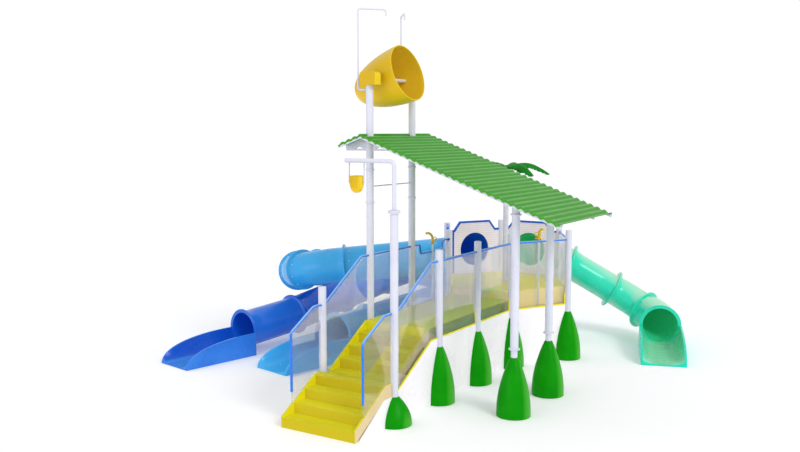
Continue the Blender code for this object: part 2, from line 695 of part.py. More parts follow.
def cup_profile(nose, rim, radius, wall):
    """Profile of a bullet-shaped cup, out along the outside from the nose and back along the inside."""
    length = nose + rim
    shares = (0.03, 0.11, 0.25, 0.45, 0.70, 1.0)
    outside = [(radius * (1 - (1 - s) ** 1.87) ** 0.45, s * length - nose) for s in shares]
    inside = [(r - wall, h + wall * (1 - s)) for (r, h), s in zip(outside, shares)]
    return [(0, -nose)] + outside + list(reversed(inside)) + [(0, -nose + wall)]


def build_big_bucket():
    turn = Matrix.Rotation(math.pi / 2 - TILT, 3, "Y")
    profile = cup_profile(CUP_NOSE, CUP_RIM, CUP_R, CUP_WALL)
    bucket = place("big_bucket", turned(profile, PIVOT, 20, turn), "amber", origin=PIVOT, smooth=True)
    ends = [(PIVOT.x, AXLE_END, PIVOT.z), (PIVOT.x, BAY - AXLE_END, PIVOT.z)]
    join(bucket, bar(ends, AXLE_R, 12))
    for name, foot, inner in (("bearing_front", P1, 1), ("bearing_back", P2, -1)):
        x0, x1, z0, z1, depth = -1.65, -1.316, TOWER_TOP + SEAT, 6.02, 0.10
        arc = [(x1 - 0.07 + 0.07 * math.cos(t), z1 - 0.07 + 0.07 * math.sin(t))
               for t in (math.radians(a) for a in (0, 30, 60, 90))]
        outline = [(x0, z0), (x1, z0)] + arc + [(x0 + 0.02, z1), (x0, z1 - 0.02)]
        frame = (Vector((0, foot.y, 0)), Vector((1, 0, 0)), Vector((0, 0, 1)))
        housing = place(name, slab([outline], frame, (-depth, depth)), "yellow")
        reach = [(PIVOT.x, foot.y + inner * (AXLE_END - SEAT), PIVOT.z), (PIVOT.x, foot.y + inner * 0.13, PIVOT.z)]
        cut(housing, bar(reach, AXLE_R + AXLE_PLAY, 16))
    rod = [(-BAY, POST_R + SEAT, 3.89), (-BAY, BAY - POST_R - SEAT, 3.89)]
    place("tie_rod", bar(rod, 0.011, 8), "white", smooth=True)


def build_small_bucket():
    low = 3.60 + SEAT
    flange = [(0, low), (0.1, low), (0.1, low + 0.024), (ARM_R, low + 0.024), (ARM_R, low + 0.05), (0, low + 0.05)]
    arm = place("shower_arm", turned(flange, A), "white", smooth=True)
    elbow = 0.10
    turns = [math.radians(a) for a in (0, 30, 60, 90)]
    bend = [(elbow * (math.cos(t) - 1), ARM_Z + elbow * (math.sin(t) - 1)) for t in turns]
    points = [(0, A.y, low + 0.03)] + [(x, A.y, z) for x, z in bend] + [(-0.98, A.y, ARM_Z)]
    join(arm, bar(points, ARM_R, 12))
    for x in (-0.901, -0.599):
        join(arm, block((x - 0.004, A.y - 0.02, 4.05), (x + 0.004, A.y + 0.02, ARM_Z - 0.01)))
    outside = [(0.06, -0.19), (0.105, -0.13), (0.126, -0.03), (0.135, 0.08)]
    inside = [(r - 0.008, h + 0.004) for r, h in outside[:-1]] + [(0.127, 0.08)]
    profile = [(0, -0.204)] + outside + list(reversed(inside)) + [(0, -0.196)]
    cup = place("small_bucket", turned(profile, SMALL_PIVOT, 16), "amber", origin=SMALL_PIVOT, smooth=True)
    pin = SMALL_PIVOT.copy()
    reach = 0.147 - SEAT
    join(cup, bar([(pin.x - reach, pin.y, pin.z), (pin.x + reach, pin.y, pin.z)], 0.008, 8))


def build_cannon(number, foot, top, facing):
    """A water cannon: a pipe beside the deck, and a nozzle with two hand loops that swivels on it."""
    low = DECK_LOW + TRIM + 0.01
    pipe = [(0, low), (CANNON_PIPE_R, low), (CANNON_PIPE_R, top), (0, top)]
    place(f"cannon_{number}_pipe", turned(pipe, foot), "white", smooth=True)
    base = foot + Vector((0, 0, top + SEAT))
    across = Vector((-facing.y, facing.x, 0))
    profile = [(0, 0), (0.09, 0), (0.09, 0.012), (0.035, 0.02), (0.03, 0.06), (0, 0.06)]
    head = place(f"cannon_{number}", turned(profile, base, 12), "amber", origin=base, smooth=True)
    barrel = [(0.0, 0.03), (0.0, 0.10), (0.015, 0.15), (0.05, 0.19), (0.10, 0.21), (0.16, 0.205)]
    join(head, bar([base + a * facing + Vector((0, 0, z)) for a, z in barrel], 0.026, 10))
    for sign in (-1, 1):
        loop = [(0.0, 0.0, 0.05), (-0.03, 0.06, 0.05), (-0.05, 0.075, 0.09), (-0.04, 0.06, 0.13), (0.0, 0.0, 0.13)]
        join(head, bar([base + a * facing + sign * b * across + Vector((0, 0, z)) for a, b, z in loop], 0.009, 6))


def build_cannons():
    beside = INSET - SEAT - CANNON_PIPE_R
    build_cannon(1, Vector((-BAY + beside, 1.5 * BAY, 0)), 2.58, Vector((-1, 0, 0)))
    inward = Vector((-math.sqrt(3) / 2, 0.5, 0))
    build_cannon(2, (D + G) / 2 + beside * inward, 2.65, -inward)


def build_palm():
    """A white trunk on the hexagonal platform, and a crown of six drooping fronds."""
    low, high = HEX_Z + SEAT, 4.08
    trunk = [(0, low), (0.12, low), (0.12, low + 0.015), (0.06, low + 0.015), (0.06, high), (0, high)]
    place("palm_trunk", turned(trunk, HEX_C), "white", smooth=True)
    fronds, per_frond, reach, hub = 6, 6, 0.95, 0.11
    count = fronds * per_frond
    spread = (1.0, 0.50, 0.20, 0.12, 0.20, 0.50)
    bm = bmesh.new()
    tops, lows = [], []
    for share in (0.35, 0.65, 1.0):
        top, under = [], []
        for k in range(count):
            radius = hub + (reach - hub) * spread[k % per_frond] * share
            angle = 2 * math.pi * k / count + math.radians(32)
            rise = 0.14 * math.sin(min(radius / 0.55, 1.0) * math.pi / 2) - 0.42 * max(radius - 0.35, 0) ** 1.5
            spot = HEX_C + Vector((radius * math.cos(angle), radius * math.sin(angle), high + 0.05 + rise))
            top.append(bm.verts.new(spot))
            under.append(bm.verts.new(spot - Vector((0, 0, 0.02))))
        tops.append(top)
        lows.append(under)
    peak = bm.verts.new(HEX_C + Vector((0, 0, high + 0.05)))
    root = bm.verts.new(HEX_C + Vector((0, 0, high + SEAT)))
    for rings, pole in ((tops, peak), (lows, root)):
        skin_rings(bm, rings, False)
        for k in range(count):
            bm.faces.new((rings[0][k], rings[0][(k + 1) % count], pole))
    skin_rings(bm, [tops[-1], lows[-1]], False)
    place("palm_crown", bm, "cone_green")


build_posts()
build_side_skirts()
build_hex_skirts()
build_lower_flight()
build_upper_flight()
build_decks()
build_guards()
build_entries()
build_slides()
build_roof()
build_frames()
build_big_bucket()
build_small_bucket()
build_cannons()
build_palm()
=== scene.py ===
# %% [markdown]
# # Dressing a water slide tower
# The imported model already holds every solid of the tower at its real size. This notebook gives each one
# the smooth form and the finish that the real tower shows: gel-coated tubes, coated steel posts, clear
# guards with blue rails, a ribbed roof. All of it is in metres, in the same frame as the solids.

# %% Load the fixed frame
import math
import bmesh
import bpy
import numpy as np
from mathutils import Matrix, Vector


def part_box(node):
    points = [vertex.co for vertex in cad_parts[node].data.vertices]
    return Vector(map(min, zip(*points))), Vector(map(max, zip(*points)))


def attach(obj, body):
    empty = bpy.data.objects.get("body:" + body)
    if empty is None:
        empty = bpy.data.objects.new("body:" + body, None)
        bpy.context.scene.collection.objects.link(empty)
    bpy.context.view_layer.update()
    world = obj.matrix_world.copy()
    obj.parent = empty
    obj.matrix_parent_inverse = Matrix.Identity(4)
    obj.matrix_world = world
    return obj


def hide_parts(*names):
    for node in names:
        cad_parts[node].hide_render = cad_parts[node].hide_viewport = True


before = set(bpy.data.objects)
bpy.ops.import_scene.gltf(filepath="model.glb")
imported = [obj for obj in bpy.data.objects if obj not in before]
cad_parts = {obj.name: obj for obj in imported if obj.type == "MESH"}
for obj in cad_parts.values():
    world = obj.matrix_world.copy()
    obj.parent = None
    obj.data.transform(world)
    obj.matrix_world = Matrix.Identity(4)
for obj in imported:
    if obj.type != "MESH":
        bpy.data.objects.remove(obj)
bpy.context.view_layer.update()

# %% [markdown]
# ## The plan of the tower
# Everything stands on posts in a grid of 1.5 m bays, and the far platform is half a hexagon with the
# same side. Keeping the post feet in one small table means that each later piece can name the two posts
# that it hangs between.

# %% Post feet and main levels
BAY = 1.5
POST_R, POST_TOP = 0.07, 2.80
SEAT = 0.0004
DECK_LOW, HEX_Z = 1.18, 1.575
RAIL_Z, HOLE_Z = 2.60, 2.14
UP = np.array([0, 0, 1])
HEX_CENTRE = np.array([-0.75, 3.0 + BAY * math.sqrt(3) / 2])
feet = {"a": (0, -1.5), "b": (0, 0), "c": (0, 1.5), "d": (0, 3), "l1": (-1.5, -1.5), "p1": (-1.5, 0),
        "p2": (-1.5, 1.5), "p4": (-1.5, 3), "e": (1.5, 0), "f": (1.5, 1.5)}
for letter, degrees in zip("ghij", (0, 60, 120, 180)):
    turn = math.radians(degrees)
    feet[letter] = tuple(HEX_CENTRE + BAY * np.array([math.cos(turn), math.sin(turn)]))
feet = {letter: np.array([x, y, 0.0]) for letter, (x, y) in feet.items()}
print("posts:", len(feet))

# %% [markdown]
# ## Three ways to make a surface
# Nearly every piece here is one of three things. A post, a footing or a bucket is a profile turned round
# an axis. A rail, a water pipe or a trim strip is a section carried along a path. A tube or a frond is a
# grid of points that a formula gives. All three end as a grid, so one function turns a grid into a mesh.

# %% A mesh becomes a piece
JOIN = 2e-5


def cleaned(name, mesh, soft_angle, *repairs):
    """A piece from the mesh: doubled points merged, repairs made, smooth but for corners past the angle."""
    clean = bmesh.new()
    clean.from_mesh(mesh)
    bmesh.ops.remove_doubles(clean, verts=clean.verts, dist=JOIN)
    for repair in repairs:
        repair(clean)
    clean.to_mesh(mesh)
    clean.free()
    mesh.shade_smooth()
    mesh.set_sharp_from_angle(angle=math.radians(soft_angle))
    piece = bpy.data.objects.new(name, mesh)
    bpy.context.scene.collection.objects.link(piece)
    return piece


def turned_out(clean):
    """Every face points outwards."""
    bmesh.ops.recalc_face_normals(clean, faces=clean.faces)


print("doubled points merge within", JOIN)


# %% A grid of points becomes a closed mesh
def grid_faces(rows, columns, round_across=True, round_along=False):
    """Point (i, j) joins (i, j + 1), (i + 1, j + 1) and (i + 1, j), and wraps round where asked."""
    i, j = np.meshgrid(np.arange(rows if round_along else rows - 1),
                       np.arange(columns if round_across else columns - 1), indexing="ij")
    i2, j2 = (i + 1) % rows, (j + 1) % columns
    return np.stack([i * columns + j, i * columns + j2, i2 * columns + j2, i2 * columns + j], -1).reshape(-1, 4)


def skin(name, grid, round_across=True, round_along=False, capped=False, soft_angle=40):
    """A piece whose faces join the grid's points. A capped one gets a flat face at each end."""
    grid = np.asarray(grid, float)
    rows, columns = grid.shape[:2]
    faces = grid_faces(rows, columns, round_across, round_along).tolist()
    if capped:
        faces += [list(range(columns)), list(range((rows - 1) * columns, rows * columns))]
    mesh = bpy.data.meshes.new(name)
    mesh.from_pydata(grid.reshape(-1, 3), [], faces)
    return cleaned(name, mesh, soft_angle, turned_out)


print("faces round a 3 by 8 grid:", len(grid_faces(3, 8)))


# %% A profile turned round an axis
def lathe(name, profile, foot, sides=48, lean=None):
    """Point (radius, height) goes to (radius cos t, radius sin t, height) for every t round the circle."""
    profile = np.asarray(profile, float)
    t = np.linspace(0, 2 * np.pi, sides, endpoint=False)
    radius, height = profile[:, :1], profile[:, 1:]
    grid = np.stack([radius * np.cos(t), radius * np.sin(t), height + 0 * t], -1)
    if lean is not None:
        grid = grid @ np.asarray(lean).T
    return skin(name, grid + np.asarray(foot, float))


print("profiles can be turned")


# %% A section carried along a path
def carry(name, path, section, sideways=None):
    """Point = path + x side + y up / cos h, in the plane that halves the corner, h being half its turn."""
    path = np.asarray(path, float)
    steps = np.diff(path, axis=0)
    steps /= np.linalg.norm(steps, axis=1, keepdims=True)
    before, after = np.vstack([steps[:1], steps]), np.vstack([steps, steps[-1:]])
    ahead = before + after
    ahead /= np.linalg.norm(ahead, axis=1, keepdims=True)
    if sideways is None:
        frames = [Vector(ahead[0]).orthogonal().normalized()]
        for a, b in zip(ahead, ahead[1:]):
            turn = Vector(a).rotation_difference(Vector(b))
            frames.append(turn @ frames[-1])
        side = np.array(frames)
    else:
        side = np.repeat(np.asarray([sideways], float), len(path), axis=0)
    up = np.cross(side, ahead)
    stretch = 1 / np.clip((before * ahead).sum(1), 0.3, 1)
    section = np.asarray(section, float)
    up = up * stretch[:, None]
    grid = path[:, None] + section[None, :, :1] * side[:, None] + section[None, :, 1:] * up[:, None]
    return skin(name, grid, capped=True)


print("sections can be carried")


# %% Two sections
def disc(radius, sides=20):
    """The section of a round bar."""
    t = np.linspace(0, 2 * np.pi, sides, endpoint=False)
    return np.stack([radius * np.cos(t), radius * np.sin(t)], -1)


def strip(width, depth, edge=0.004):
    """The section of a flat bar with its corners taken off: half-width across, half-depth up."""
    w, d = width / 2, depth / 2
    return [(-w, -d + edge), (-w + edge, -d), (w - edge, -d), (w, -d + edge), (w, d - edge), (w - edge, d),
            (-w + edge, d), (-w, d - edge)]


print("section points:", len(disc(1.0)), "and", len(strip(1.0, 1.0)))


# %% Smoothing a line of points
def filleted(points, radius, steps=8):
    """Each corner c becomes the curve (1-s)^2 p + 2s(1-s) c + s^2 q, with p and q a radius away from it."""
    points = np.asarray(points, float)
    line = [points[:1]]
    s = np.linspace(0, 1, steps + 1)[:, None]
    for a, c, b in zip(points, points[1:], points[2:]):
        reach = min(radius, 0.45 * np.linalg.norm(a - c), 0.45 * np.linalg.norm(b - c))
        p = c + (a - c) / np.linalg.norm(a - c) * reach
        q = c + (b - c) / np.linalg.norm(b - c) * reach
        line.append((1 - s) ** 2 * p + 2 * s * (1 - s) * c + s ** 2 * q)
    return np.vstack(line + [points[-1:]])


def eased(points, per_span=6):
    """A smooth line through the points: each span is the cubic that leaves and arrives along its neighbours."""
    points = np.asarray(points, float)
    padded = np.vstack([2 * points[:1] - points[1:2], points, 2 * points[-1:] - points[-2:-1]])
    s = np.linspace(0, 1, per_span, endpoint=False)[:, None]
    spans = []
    for a, b, c, d in zip(padded, padded[1:], padded[2:], padded[3:]):
        spans.append(b + 0.5 * s * (c - a) + s ** 2 * (a - 2.5 * b + 2 * c - 0.5 * d)
                     + s ** 3 * (1.5 * (b - c) + 0.5 * (d - a)))
    return np.vstack(spans + [points[-1:]])


print("points round a filleted corner:", len(filleted([(0, 0), (1, 0), (1, 1)], 0.1)))


# %% Planes between two posts
def upright(start, end):
    """A vertical plane from one post to the next: (origin, along, square to both)."""
    along = (end - start) / np.linalg.norm(end - start)
    return start, along, np.array([along[1], -along[0], 0.0])


def on_plane(plane, points, out=0.0):
    """(s, z) in the plane becomes origin + s along + z up + out times the square direction."""
    origin, along, square = plane
    points = np.asarray(points, float)
    return origin + points[:, :1] * along + points[:, 1:] * UP + out * square


def inset(outline, edge):
    """Every corner moves inwards along the line that halves it, so that each side moves by the edge."""
    outline = np.asarray(outline, float)
    area = 0.5 * np.sum(outline[:, 0] * np.roll(outline[:, 1], -1) - np.roll(outline[:, 0], -1) * outline[:, 1])
    steps = np.roll(outline, -1, axis=0) - outline
    steps /= np.linalg.norm(steps, axis=1, keepdims=True)
    normal = np.stack([-steps[:, 1], steps[:, 0]], -1) * np.sign(area)
    last = np.roll(normal, 1, axis=0)
    return outline + edge * (normal + last) / (1 + (normal * last).sum(1, keepdims=True))


def plate(name, outline, plane, thick, edge=0.003):
    """A flat plate: the outline at four depths, drawn in by the edge at the first and the last."""
    half = thick / 2
    levels = [(-half, edge), (-half + edge, 0), (half - edge, 0), (half, edge)]
    rings = [on_plane(plane, inset(outline, draw), out) for out, draw in levels]
    return skin(name, np.array(rings), capped=True, soft_angle=20)


print("a bay's plane:", [part.tolist() for part in upright(feet["b"], feet["c"])])

# %% [markdown]
# ## Finishes
# Moulded plastic and gel coat look alike from afar, and yet no two surfaces are flat colours: the pigment
# varies softly, the gloss is a little uneven, and a fine ripple in the skin breaks the reflections. Every
# finish here is therefore built from the same three layers, a soft cloud that moves the colour, another that
# moves the roughness, and a fine grain for the relief. Where a surface looks paler or darker in the light,
# a last step paints that light and shade in: it mixes in a second colour by the way the surface faces.

# %% Colours as the screen shows them
def tone(code):
    """Screen value c becomes c / 12.92 below 0.04045, and ((c + 0.055) / 1.055) ** 2.4 above it."""
    c = np.array([int(code[k:k + 2], 16) for k in (1, 3, 5)]) / 255
    return (*np.where(c < 0.04045, c / 12.92, ((c + 0.055) / 1.055) ** 2.4), 1.0)


print("middle grey:", round(float(tone("#808080")[0]), 3))


# %% The cloud and the ramp
def add(tree, kind, **values):
    """A new node with some of its settings."""
    node = tree.nodes.new("ShaderNode" + kind)
    for key, value in values.items():
        setattr(node, key, value)
    return node


def cloud(tree, scale, detail=2.0):
    """Soft noise over the object's own coordinates."""
    noise = add(tree, "TexNoise")
    noise.inputs["Scale"].default_value = scale
    noise.inputs["Detail"].default_value = detail
    tree.links.new(add(tree, "TexCoord").outputs["Object"], noise.inputs["Vector"])
    return noise.outputs["Fac"]


def spread(tree, source, low, high, start=0.3, stop=0.7):
    """Map the range start..stop of a value to low..high."""
    node = add(tree, "MapRange")
    for socket, value in (("From Min", start), ("From Max", stop), ("To Min", low), ("To Max", high)):
        node.inputs[socket].default_value = value
    tree.links.new(source, node.inputs["Value"])
    return node.outputs["Result"]


print("cloud and ramp ready")


# %% Mixing two colours, and mixing by the way a surface faces
def blend(tree, share, first, second):
    """Mix two colours, each a tone or a socket, by a share from 0 to 1."""
    node = add(tree, "Mix", data_type="RGBA")
    tree.links.new(share, node.inputs["Factor"])
    for socket, colour in ((node.inputs[6], first), (node.inputs[7], second)):
        if isinstance(colour, tuple):
            socket.default_value = colour
        else:
            tree.links.new(colour, socket)
    return node.outputs[2]


def facing(tree, axis, start, stop, both=False):
    """0 where the surface looks less than start along an axis, 1 where it looks more than stop."""
    parts = add(tree, "SeparateXYZ")
    tree.links.new(add(tree, "NewGeometry").outputs["Normal"], parts.inputs[0])
    value = parts.outputs[abs(axis) - 1]
    if both or axis < 0:
        turn = add(tree, "Math", operation="ABSOLUTE" if both else "MULTIPLY")
        turn.inputs[1].default_value = -1
        tree.links.new(value, turn.inputs[0])
        value = turn.outputs[0]
    return spread(tree, value, 0, 1, start, stop)


print("mixes ready")

# %% One recipe for every moulded or coated finish
GRAIN = 90.0


def new_material(name):
    """A material with its node tree and its shader."""
    material = bpy.data.materials.new(name)
    material.use_nodes = True
    return material, material.node_tree, material.node_tree.nodes["Principled BSDF"]


def finish(name, deep, pale, patch=1.3, gloss=(0.22, 0.34), relief=0.002, coat=0.0, shine=0.25, painted_light=(), lines=0,
           glow=None):
    """Pigment cloud, uneven gloss and fine grain. Painted light and shade: (axis, start, stop, colour), True for both
    ways.
    """
    material, tree, shader = new_material(name)
    colour = blend(tree, spread(tree, cloud(tree, patch), 0, 1), tone(deep), tone(pale))
    # Each entry paints light or shade: a second colour mixed in by the way the surface faces.
    for axis, start, stop, painted_colour, *both in painted_light:
        colour = blend(tree, facing(tree, axis, start, stop, bool(both)), colour, tone(painted_colour))
    height = cloud(tree, GRAIN, 1.0)
    if lines:
        bands = add(tree, "TexWave", bands_direction="Z", wave_profile="SIN")
        bands.inputs["Scale"].default_value = lines
        tree.links.new(add(tree, "TexCoord").outputs["Object"], bands.inputs["Vector"])
        height = bands.outputs["Fac"]
        colour = blend(tree, spread(tree, height, 0, 1, 0.0, 0.25), tone("#D6D1D8"), colour)
    tree.links.new(colour, shader.inputs["Base Color"])
    tree.links.new(spread(tree, cloud(tree, patch * 4), *gloss), shader.inputs["Roughness"])
    bump = add(tree, "Bump")
    bump.inputs["Strength"].default_value = 0.5
    bump.inputs["Distance"].default_value = relief
    tree.links.new(height, bump.inputs["Height"])
    tree.links.new(bump.outputs["Normal"], shader.inputs["Normal"])
    shader.inputs["Specular IOR Level"].default_value = shine
    shader.inputs["Coat Weight"].default_value = coat
    shader.inputs["Coat Roughness"].default_value = 0.1
    if glow:
        shader.inputs["Emission Color"].default_value = tone(glow)
        shader.inputs["Emission Strength"].default_value = 0.5
    return material


print("grain of the relief:", GRAIN)

# %% The tower's finishes
# deep and pale are the two ends of the pigment cloud. Settings that several finishes share have a name.
COATING = dict(relief=0.0004)
GEL_COAT = dict(patch=0.9, gloss=(0.18, 0.28), relief=0.0004, coat=0.15)
GEL_INSIDE = dict(patch=0.9, relief=0.0004)
MOULDING = dict(gloss=(0.35, 0.5), relief=0.001, shine=0.12)

white_coat = finish("white_coat", "#D4D6E6", "#DDDEEB", relief=0.0005, shine=0.3)
white_panel = finish("white_panel", "#FCF6FD", "#FFFAFF", patch=0.8, **COATING)
# A faint glow lifts the panels where they stand in shade: painted light.
lined_panel = finish("lined_panel", "#F1E9F8", "#F6EEFB", relief=0.001, lines=7.0, glow="#57525F")
# Faces that look right are mixed to a paler green: a painted highlight on the lit side.
cone_green = finish("cone_green", "#048A00", "#0C9402", patch=3.0, gloss=(0.30, 0.40), relief=0.0006, shine=0.08,
                    painted_light=((1, 0.85, 1.0, "#43A82C"),))
# Upward faces and faces towards the front take other yellows, deepest on the risers: painted light and shade.
stair_yellow = finish("stair_yellow", "#E6DC14", "#EEE31E", patch=2.0, **MOULDING,
                      painted_light=((3, 0.5, 0.8, "#D6CE22"), (-2, 0.5, 0.9, "#CDBC1A")))
# A paler copy of the stair yellow for the lit outer side: painted light.
stair_painted_lit_side = finish("stair_painted_lit_side", "#DEC698", "#E4CFA2", patch=2.0, **MOULDING)
# Upward faces take a greener yellow, and faces that look right a dark olive: painted light on top, painted shade on the
# side behind the guards.
deck_yellow = finish("deck_yellow", "#E6DC1E", "#EDE42A", patch=1.5, **MOULDING,
                     painted_light=((3, 0.5, 0.8, "#DCDA36"), (1, 0.9, 0.98, "#96923A")))
# Faces turned away and upwards are mixed to deeper yellows: painted light and shade by facing.
peach_yellow = finish("peach_yellow", "#FFE684", "#FFEC94", patch=1.5, **MOULDING,
                      painted_light=((2, 0.3, 0.45, "#F4D83C"), (3, 0.5, 0.8, "#E6DE3A")))
trim_yellow = finish("trim_yellow", "#F0E41E", "#F6EA30", relief=0.0005, shine=0.15)
# Upward faces of the rail are mixed to a pale blue: a painted highlight along its top.
rail_blue = finish("rail_blue", "#2474EA", "#3380EF", **COATING, painted_light=((3, 0.1, 0.8, "#8CBDF4"),))
trim_blue = finish("trim_blue", "#0C58D0", "#1766DC", **COATING)
sky_gel = finish("sky_gel", "#30A8EE", "#48B6F4", **GEL_COAT)
# Faces turned down are mixed to a paler blue: painted light from below.
deep_gel = finish("deep_gel", "#1F69D8", "#2C78E2", **GEL_COAT, painted_light=((-3, 0.55, 0.95, "#5C7BD6"),))
sky_bore = finish("sky_bore", "#9CCBE6", "#AED6EC", **GEL_INSIDE)
# Upward faces of the bed are mixed to a paler blue: painted light on the channel floor.
deep_bed = finish("deep_bed", "#0C52C4", "#1660D0", **GEL_INSIDE, painted_light=((3, 0.75, 0.97, "#3A84DC"),))
deep_edge = finish("deep_edge", "#2A72D6", "#3881E0", **GEL_INSIDE)
# A faint glow lifts the inside of the tube: painted light.
deep_bore = finish("deep_bore", "#0B57C8", "#1464DA", **GEL_INSIDE, glow="#04285F")
# Faces turned up or down are mixed to a pale green: painted reflection above and painted light below.
sea_gel = finish("sea_gel", "#22DAB4", "#36E0C0", **GEL_COAT, painted_light=((3, 0.45, 0.95, "#A9E6C6", True),))
# A faint glow lifts the inside of the tube: painted light.
sea_bore = finish("sea_bore", "#34BE88", "#48C894", **GEL_INSIDE, glow="#0A6A40")
# Upward faces of the bed are mixed to a paler green: painted light on the channel floor.
sea_bed = finish("sea_bed", "#5FCF9E", "#74D8AC", **GEL_INSIDE, painted_light=((3, 0.3, 0.9, "#8CDDB4"),))
sea_rim = finish("sea_rim", "#12D6B8", "#22DCC0", **COATING)
# Steep rib flanks and faces towards the front are mixed to darker greens: painted shade.
roof_coat = finish("roof_coat", "#52A03A", "#62AE4A", patch=2.5, gloss=(0.35, 0.45), relief=0.0006, shine=0.15,
                   painted_light=((1, 0.45, 0.75, "#2F8A12"), (-1, 0.40, 0.6, "#2F8A12"), (-2, 0.5, 0.9, "#3F9C14")))
lip_green = finish("lip_green", "#3C9A10", "#48A61C", patch=2.5, relief=0.0004, shine=0.15)
# Upward faces are mixed to a greyer yellow, and faces turned down or to the right to a brighter one: painted reflection
# on top, painted light below and on the lit side.
amber_gel = finish("amber_gel", "#D0AA0C", "#D8B318", patch=1.4, gloss=(0.28, 0.38), relief=0.0006, shine=0.2,
                   painted_light=((3, 0.35, 0.9, "#CFB44C"), (-3, 0.0, 0.75, "#FFD02A"), (1, 0.6, 0.95, "#F0D028")))
amber_bore = finish("amber_bore", "#E2BC24", "#E8C632", patch=1.4, relief=0.0006, shine=0.1)
frond_green = finish("frond_green", "#0A6E14", "#168522", patch=6.0, gloss=(0.35, 0.5), relief=0.001, shine=0.1)
bolt_metal = finish("bolt_metal", "#DDE3EA", "#EEF2F6", **COATING)
print("finishes:", len(bpy.data.materials))

# %% [markdown]
# ## Clear guards
# The guards are clear sheets with a faint lavender tint. They show two things at once: what stands behind
# them, and a pale mirror image that grows towards the far end. A transmitting surface does both by itself,
# so the sheet is given that, and a little tint in soft patches. Such a surface also casts a full shadow,
# which a clear sheet doesn't, so a quarter of it is left out through its alpha, and light comes through.

# %% The clear sheet
def clear_sheet(name, tint, clearest):
    """A smooth transmitting surface, with its tint in soft patches."""
    material, tree, shader = new_material(name)
    shader.inputs["Roughness"].default_value = 0.0
    shader.inputs["IOR"].default_value = 1.5
    shader.inputs["Transmission Weight"].default_value = 0.97
    shader.inputs["Alpha"].default_value = 0.72
    tree.links.new(blend(tree, spread(tree, cloud(tree, 0.7), 0, 1), tone(tint), tone(clearest)),
                   shader.inputs["Base Color"])
    return material


clear = clear_sheet("clear_sheet", "#F4F2FC", "#FCFBFF")
print("clear sheet ready")

# %% [markdown]
# ## Handing a piece over
# A finished piece needs a material, the body that carries it and the solids that it stands for. One small
# function does all three, so no piece can miss one of them.

# %% Hand a piece over
def hand_over(piece, material, body="structure", stands_for=()):
    """Give the piece its finish, its body and the solids that it replaces."""
    piece.data.materials.clear()
    piece.data.materials.append(material)
    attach(piece, body)
    if stands_for:
        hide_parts(*stands_for)
    return piece


def coated(piece, *solids, body="structure"):
    """A piece of coated steel, and the solids that it replaces."""
    return hand_over(piece, white_coat, body, solids)


def moulded(piece, *solids, body="structure"):
    """A piece of amber gel coat, and the solids that it replaces."""
    return hand_over(piece, amber_gel, body, solids)


# %% A second finish on chosen faces
def face_values(piece, kind):
    """The centre or the normal of every face, as rows of x, y, z."""
    values = np.empty(len(piece.data.polygons) * 3)
    piece.data.polygons.foreach_get(kind, values)
    return values.reshape(-1, 3)


def second_finish(piece, chosen, material):
    """The chosen faces, an array of true and false in the mesh's own order, take another finish."""
    piece.data.materials.append(material)
    index = np.where(chosen, len(piece.data.materials) - 1, 0).astype(np.int32)
    piece.data.polygons.foreach_set("material_index", index)


print("second finishes ready")

# %% Soft edges for a copied solid
CORNER = 35


def flattened(clean):
    """Triangles that lie in one plane merge into one face."""
    bmesh.ops.dissolve_limit(clean, angle_limit=math.radians(1), verts=clean.verts, edges=clean.edges)


def softened(name, node, material, width=0.006):
    """A copy of a solid with its flat faces merged and a small rounded edge along every corner."""
    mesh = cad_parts[node].data.copy()
    mesh.name = name
    piece = cleaned(name, mesh, CORNER, flattened)
    edge = piece.modifiers.new("edge", "BEVEL")
    edge.width, edge.segments = width, 2
    edge.limit_method, edge.angle_limit = "ANGLE", math.radians(CORNER)
    return hand_over(piece, material, stands_for=(node,))


print("edges soften past", CORNER, "degrees")

# %% [markdown]
# ## Footings and posts
# Each post is a coated steel pipe standing in a bell-shaped green footing. The bell is nearly upright at
# the ground and slims towards the pipe, so its profile is drawn through a few widths with a smooth line
# and turned round the post. The pipes get a small rounded cap.

# %% Footing profile
BELL = np.array([(1.0, 0.0), (0.985, 0.16), (0.92, 0.32), (0.77, 0.50), (0.55, 0.68), (0.29, 0.85), (0.0, 1.0)])
BELL_R, BELL_TALL, BELL_LOW = 0.30, 1.03, 0.48


def footing(name, foot, height, top):
    """Width share w at height share h is the radius top + (BELL_R - top) w."""
    line = eased(BELL, 8)
    body = np.stack([top + (BELL_R - top) * line[:, 0], height * line[:, 1]], -1)
    base = [(0, 0), (BELL_R - 0.008, 0), (BELL_R - 0.001, 0.004)]
    lid = [(top - 0.004, height + 0.001), (0, height + 0.001)]
    return hand_over(lathe(name, base + body[1:].tolist() + lid, foot), cone_green)


print("bell profile points:", len(eased(BELL, 8)))


# %% Pipes
def pipe_profile(low, high, radius, flanges=()):
    """A pipe with a rounded cap. A flange is (height, radius, half thickness)."""
    line = [(0, low), (radius, low)]
    for level, wide, half in flanges:
        line += [(radius, level - half), (wide - 0.003, level - half), (wide, level - half + 0.003),
                 (wide, level + half - 0.003), (wide - 0.003, level + half), (radius, level + half)]
    return line + [(radius, high - 0.008), (radius - 0.003, high - 0.002), (radius - 0.008, high), (0, high)]


def post(letter, node, profile, bell=BELL_TALL, neck=POST_R + 0.006):
    """A footing, and the pipe that stands in it."""
    footing(f"footing_{node}", feet[letter], bell, neck)
    coated(lathe(f"pipe_{node}", profile, feet[letter]), f"post_{node}")


for letter in ("b", "c", "d", "p4", "g", "h", "i", "j"):
    post(letter, letter, pipe_profile(1.0, POST_TOP, POST_R))
post("l1", "landing_left", pipe_profile(0.45, 2.21, POST_R), BELL_LOW)
post("a", "landing_right", pipe_profile(0.45, 3.60, POST_R, ((3.588, 0.105, 0.012),)), BELL_LOW)
print("bay posts and landing posts dressed")

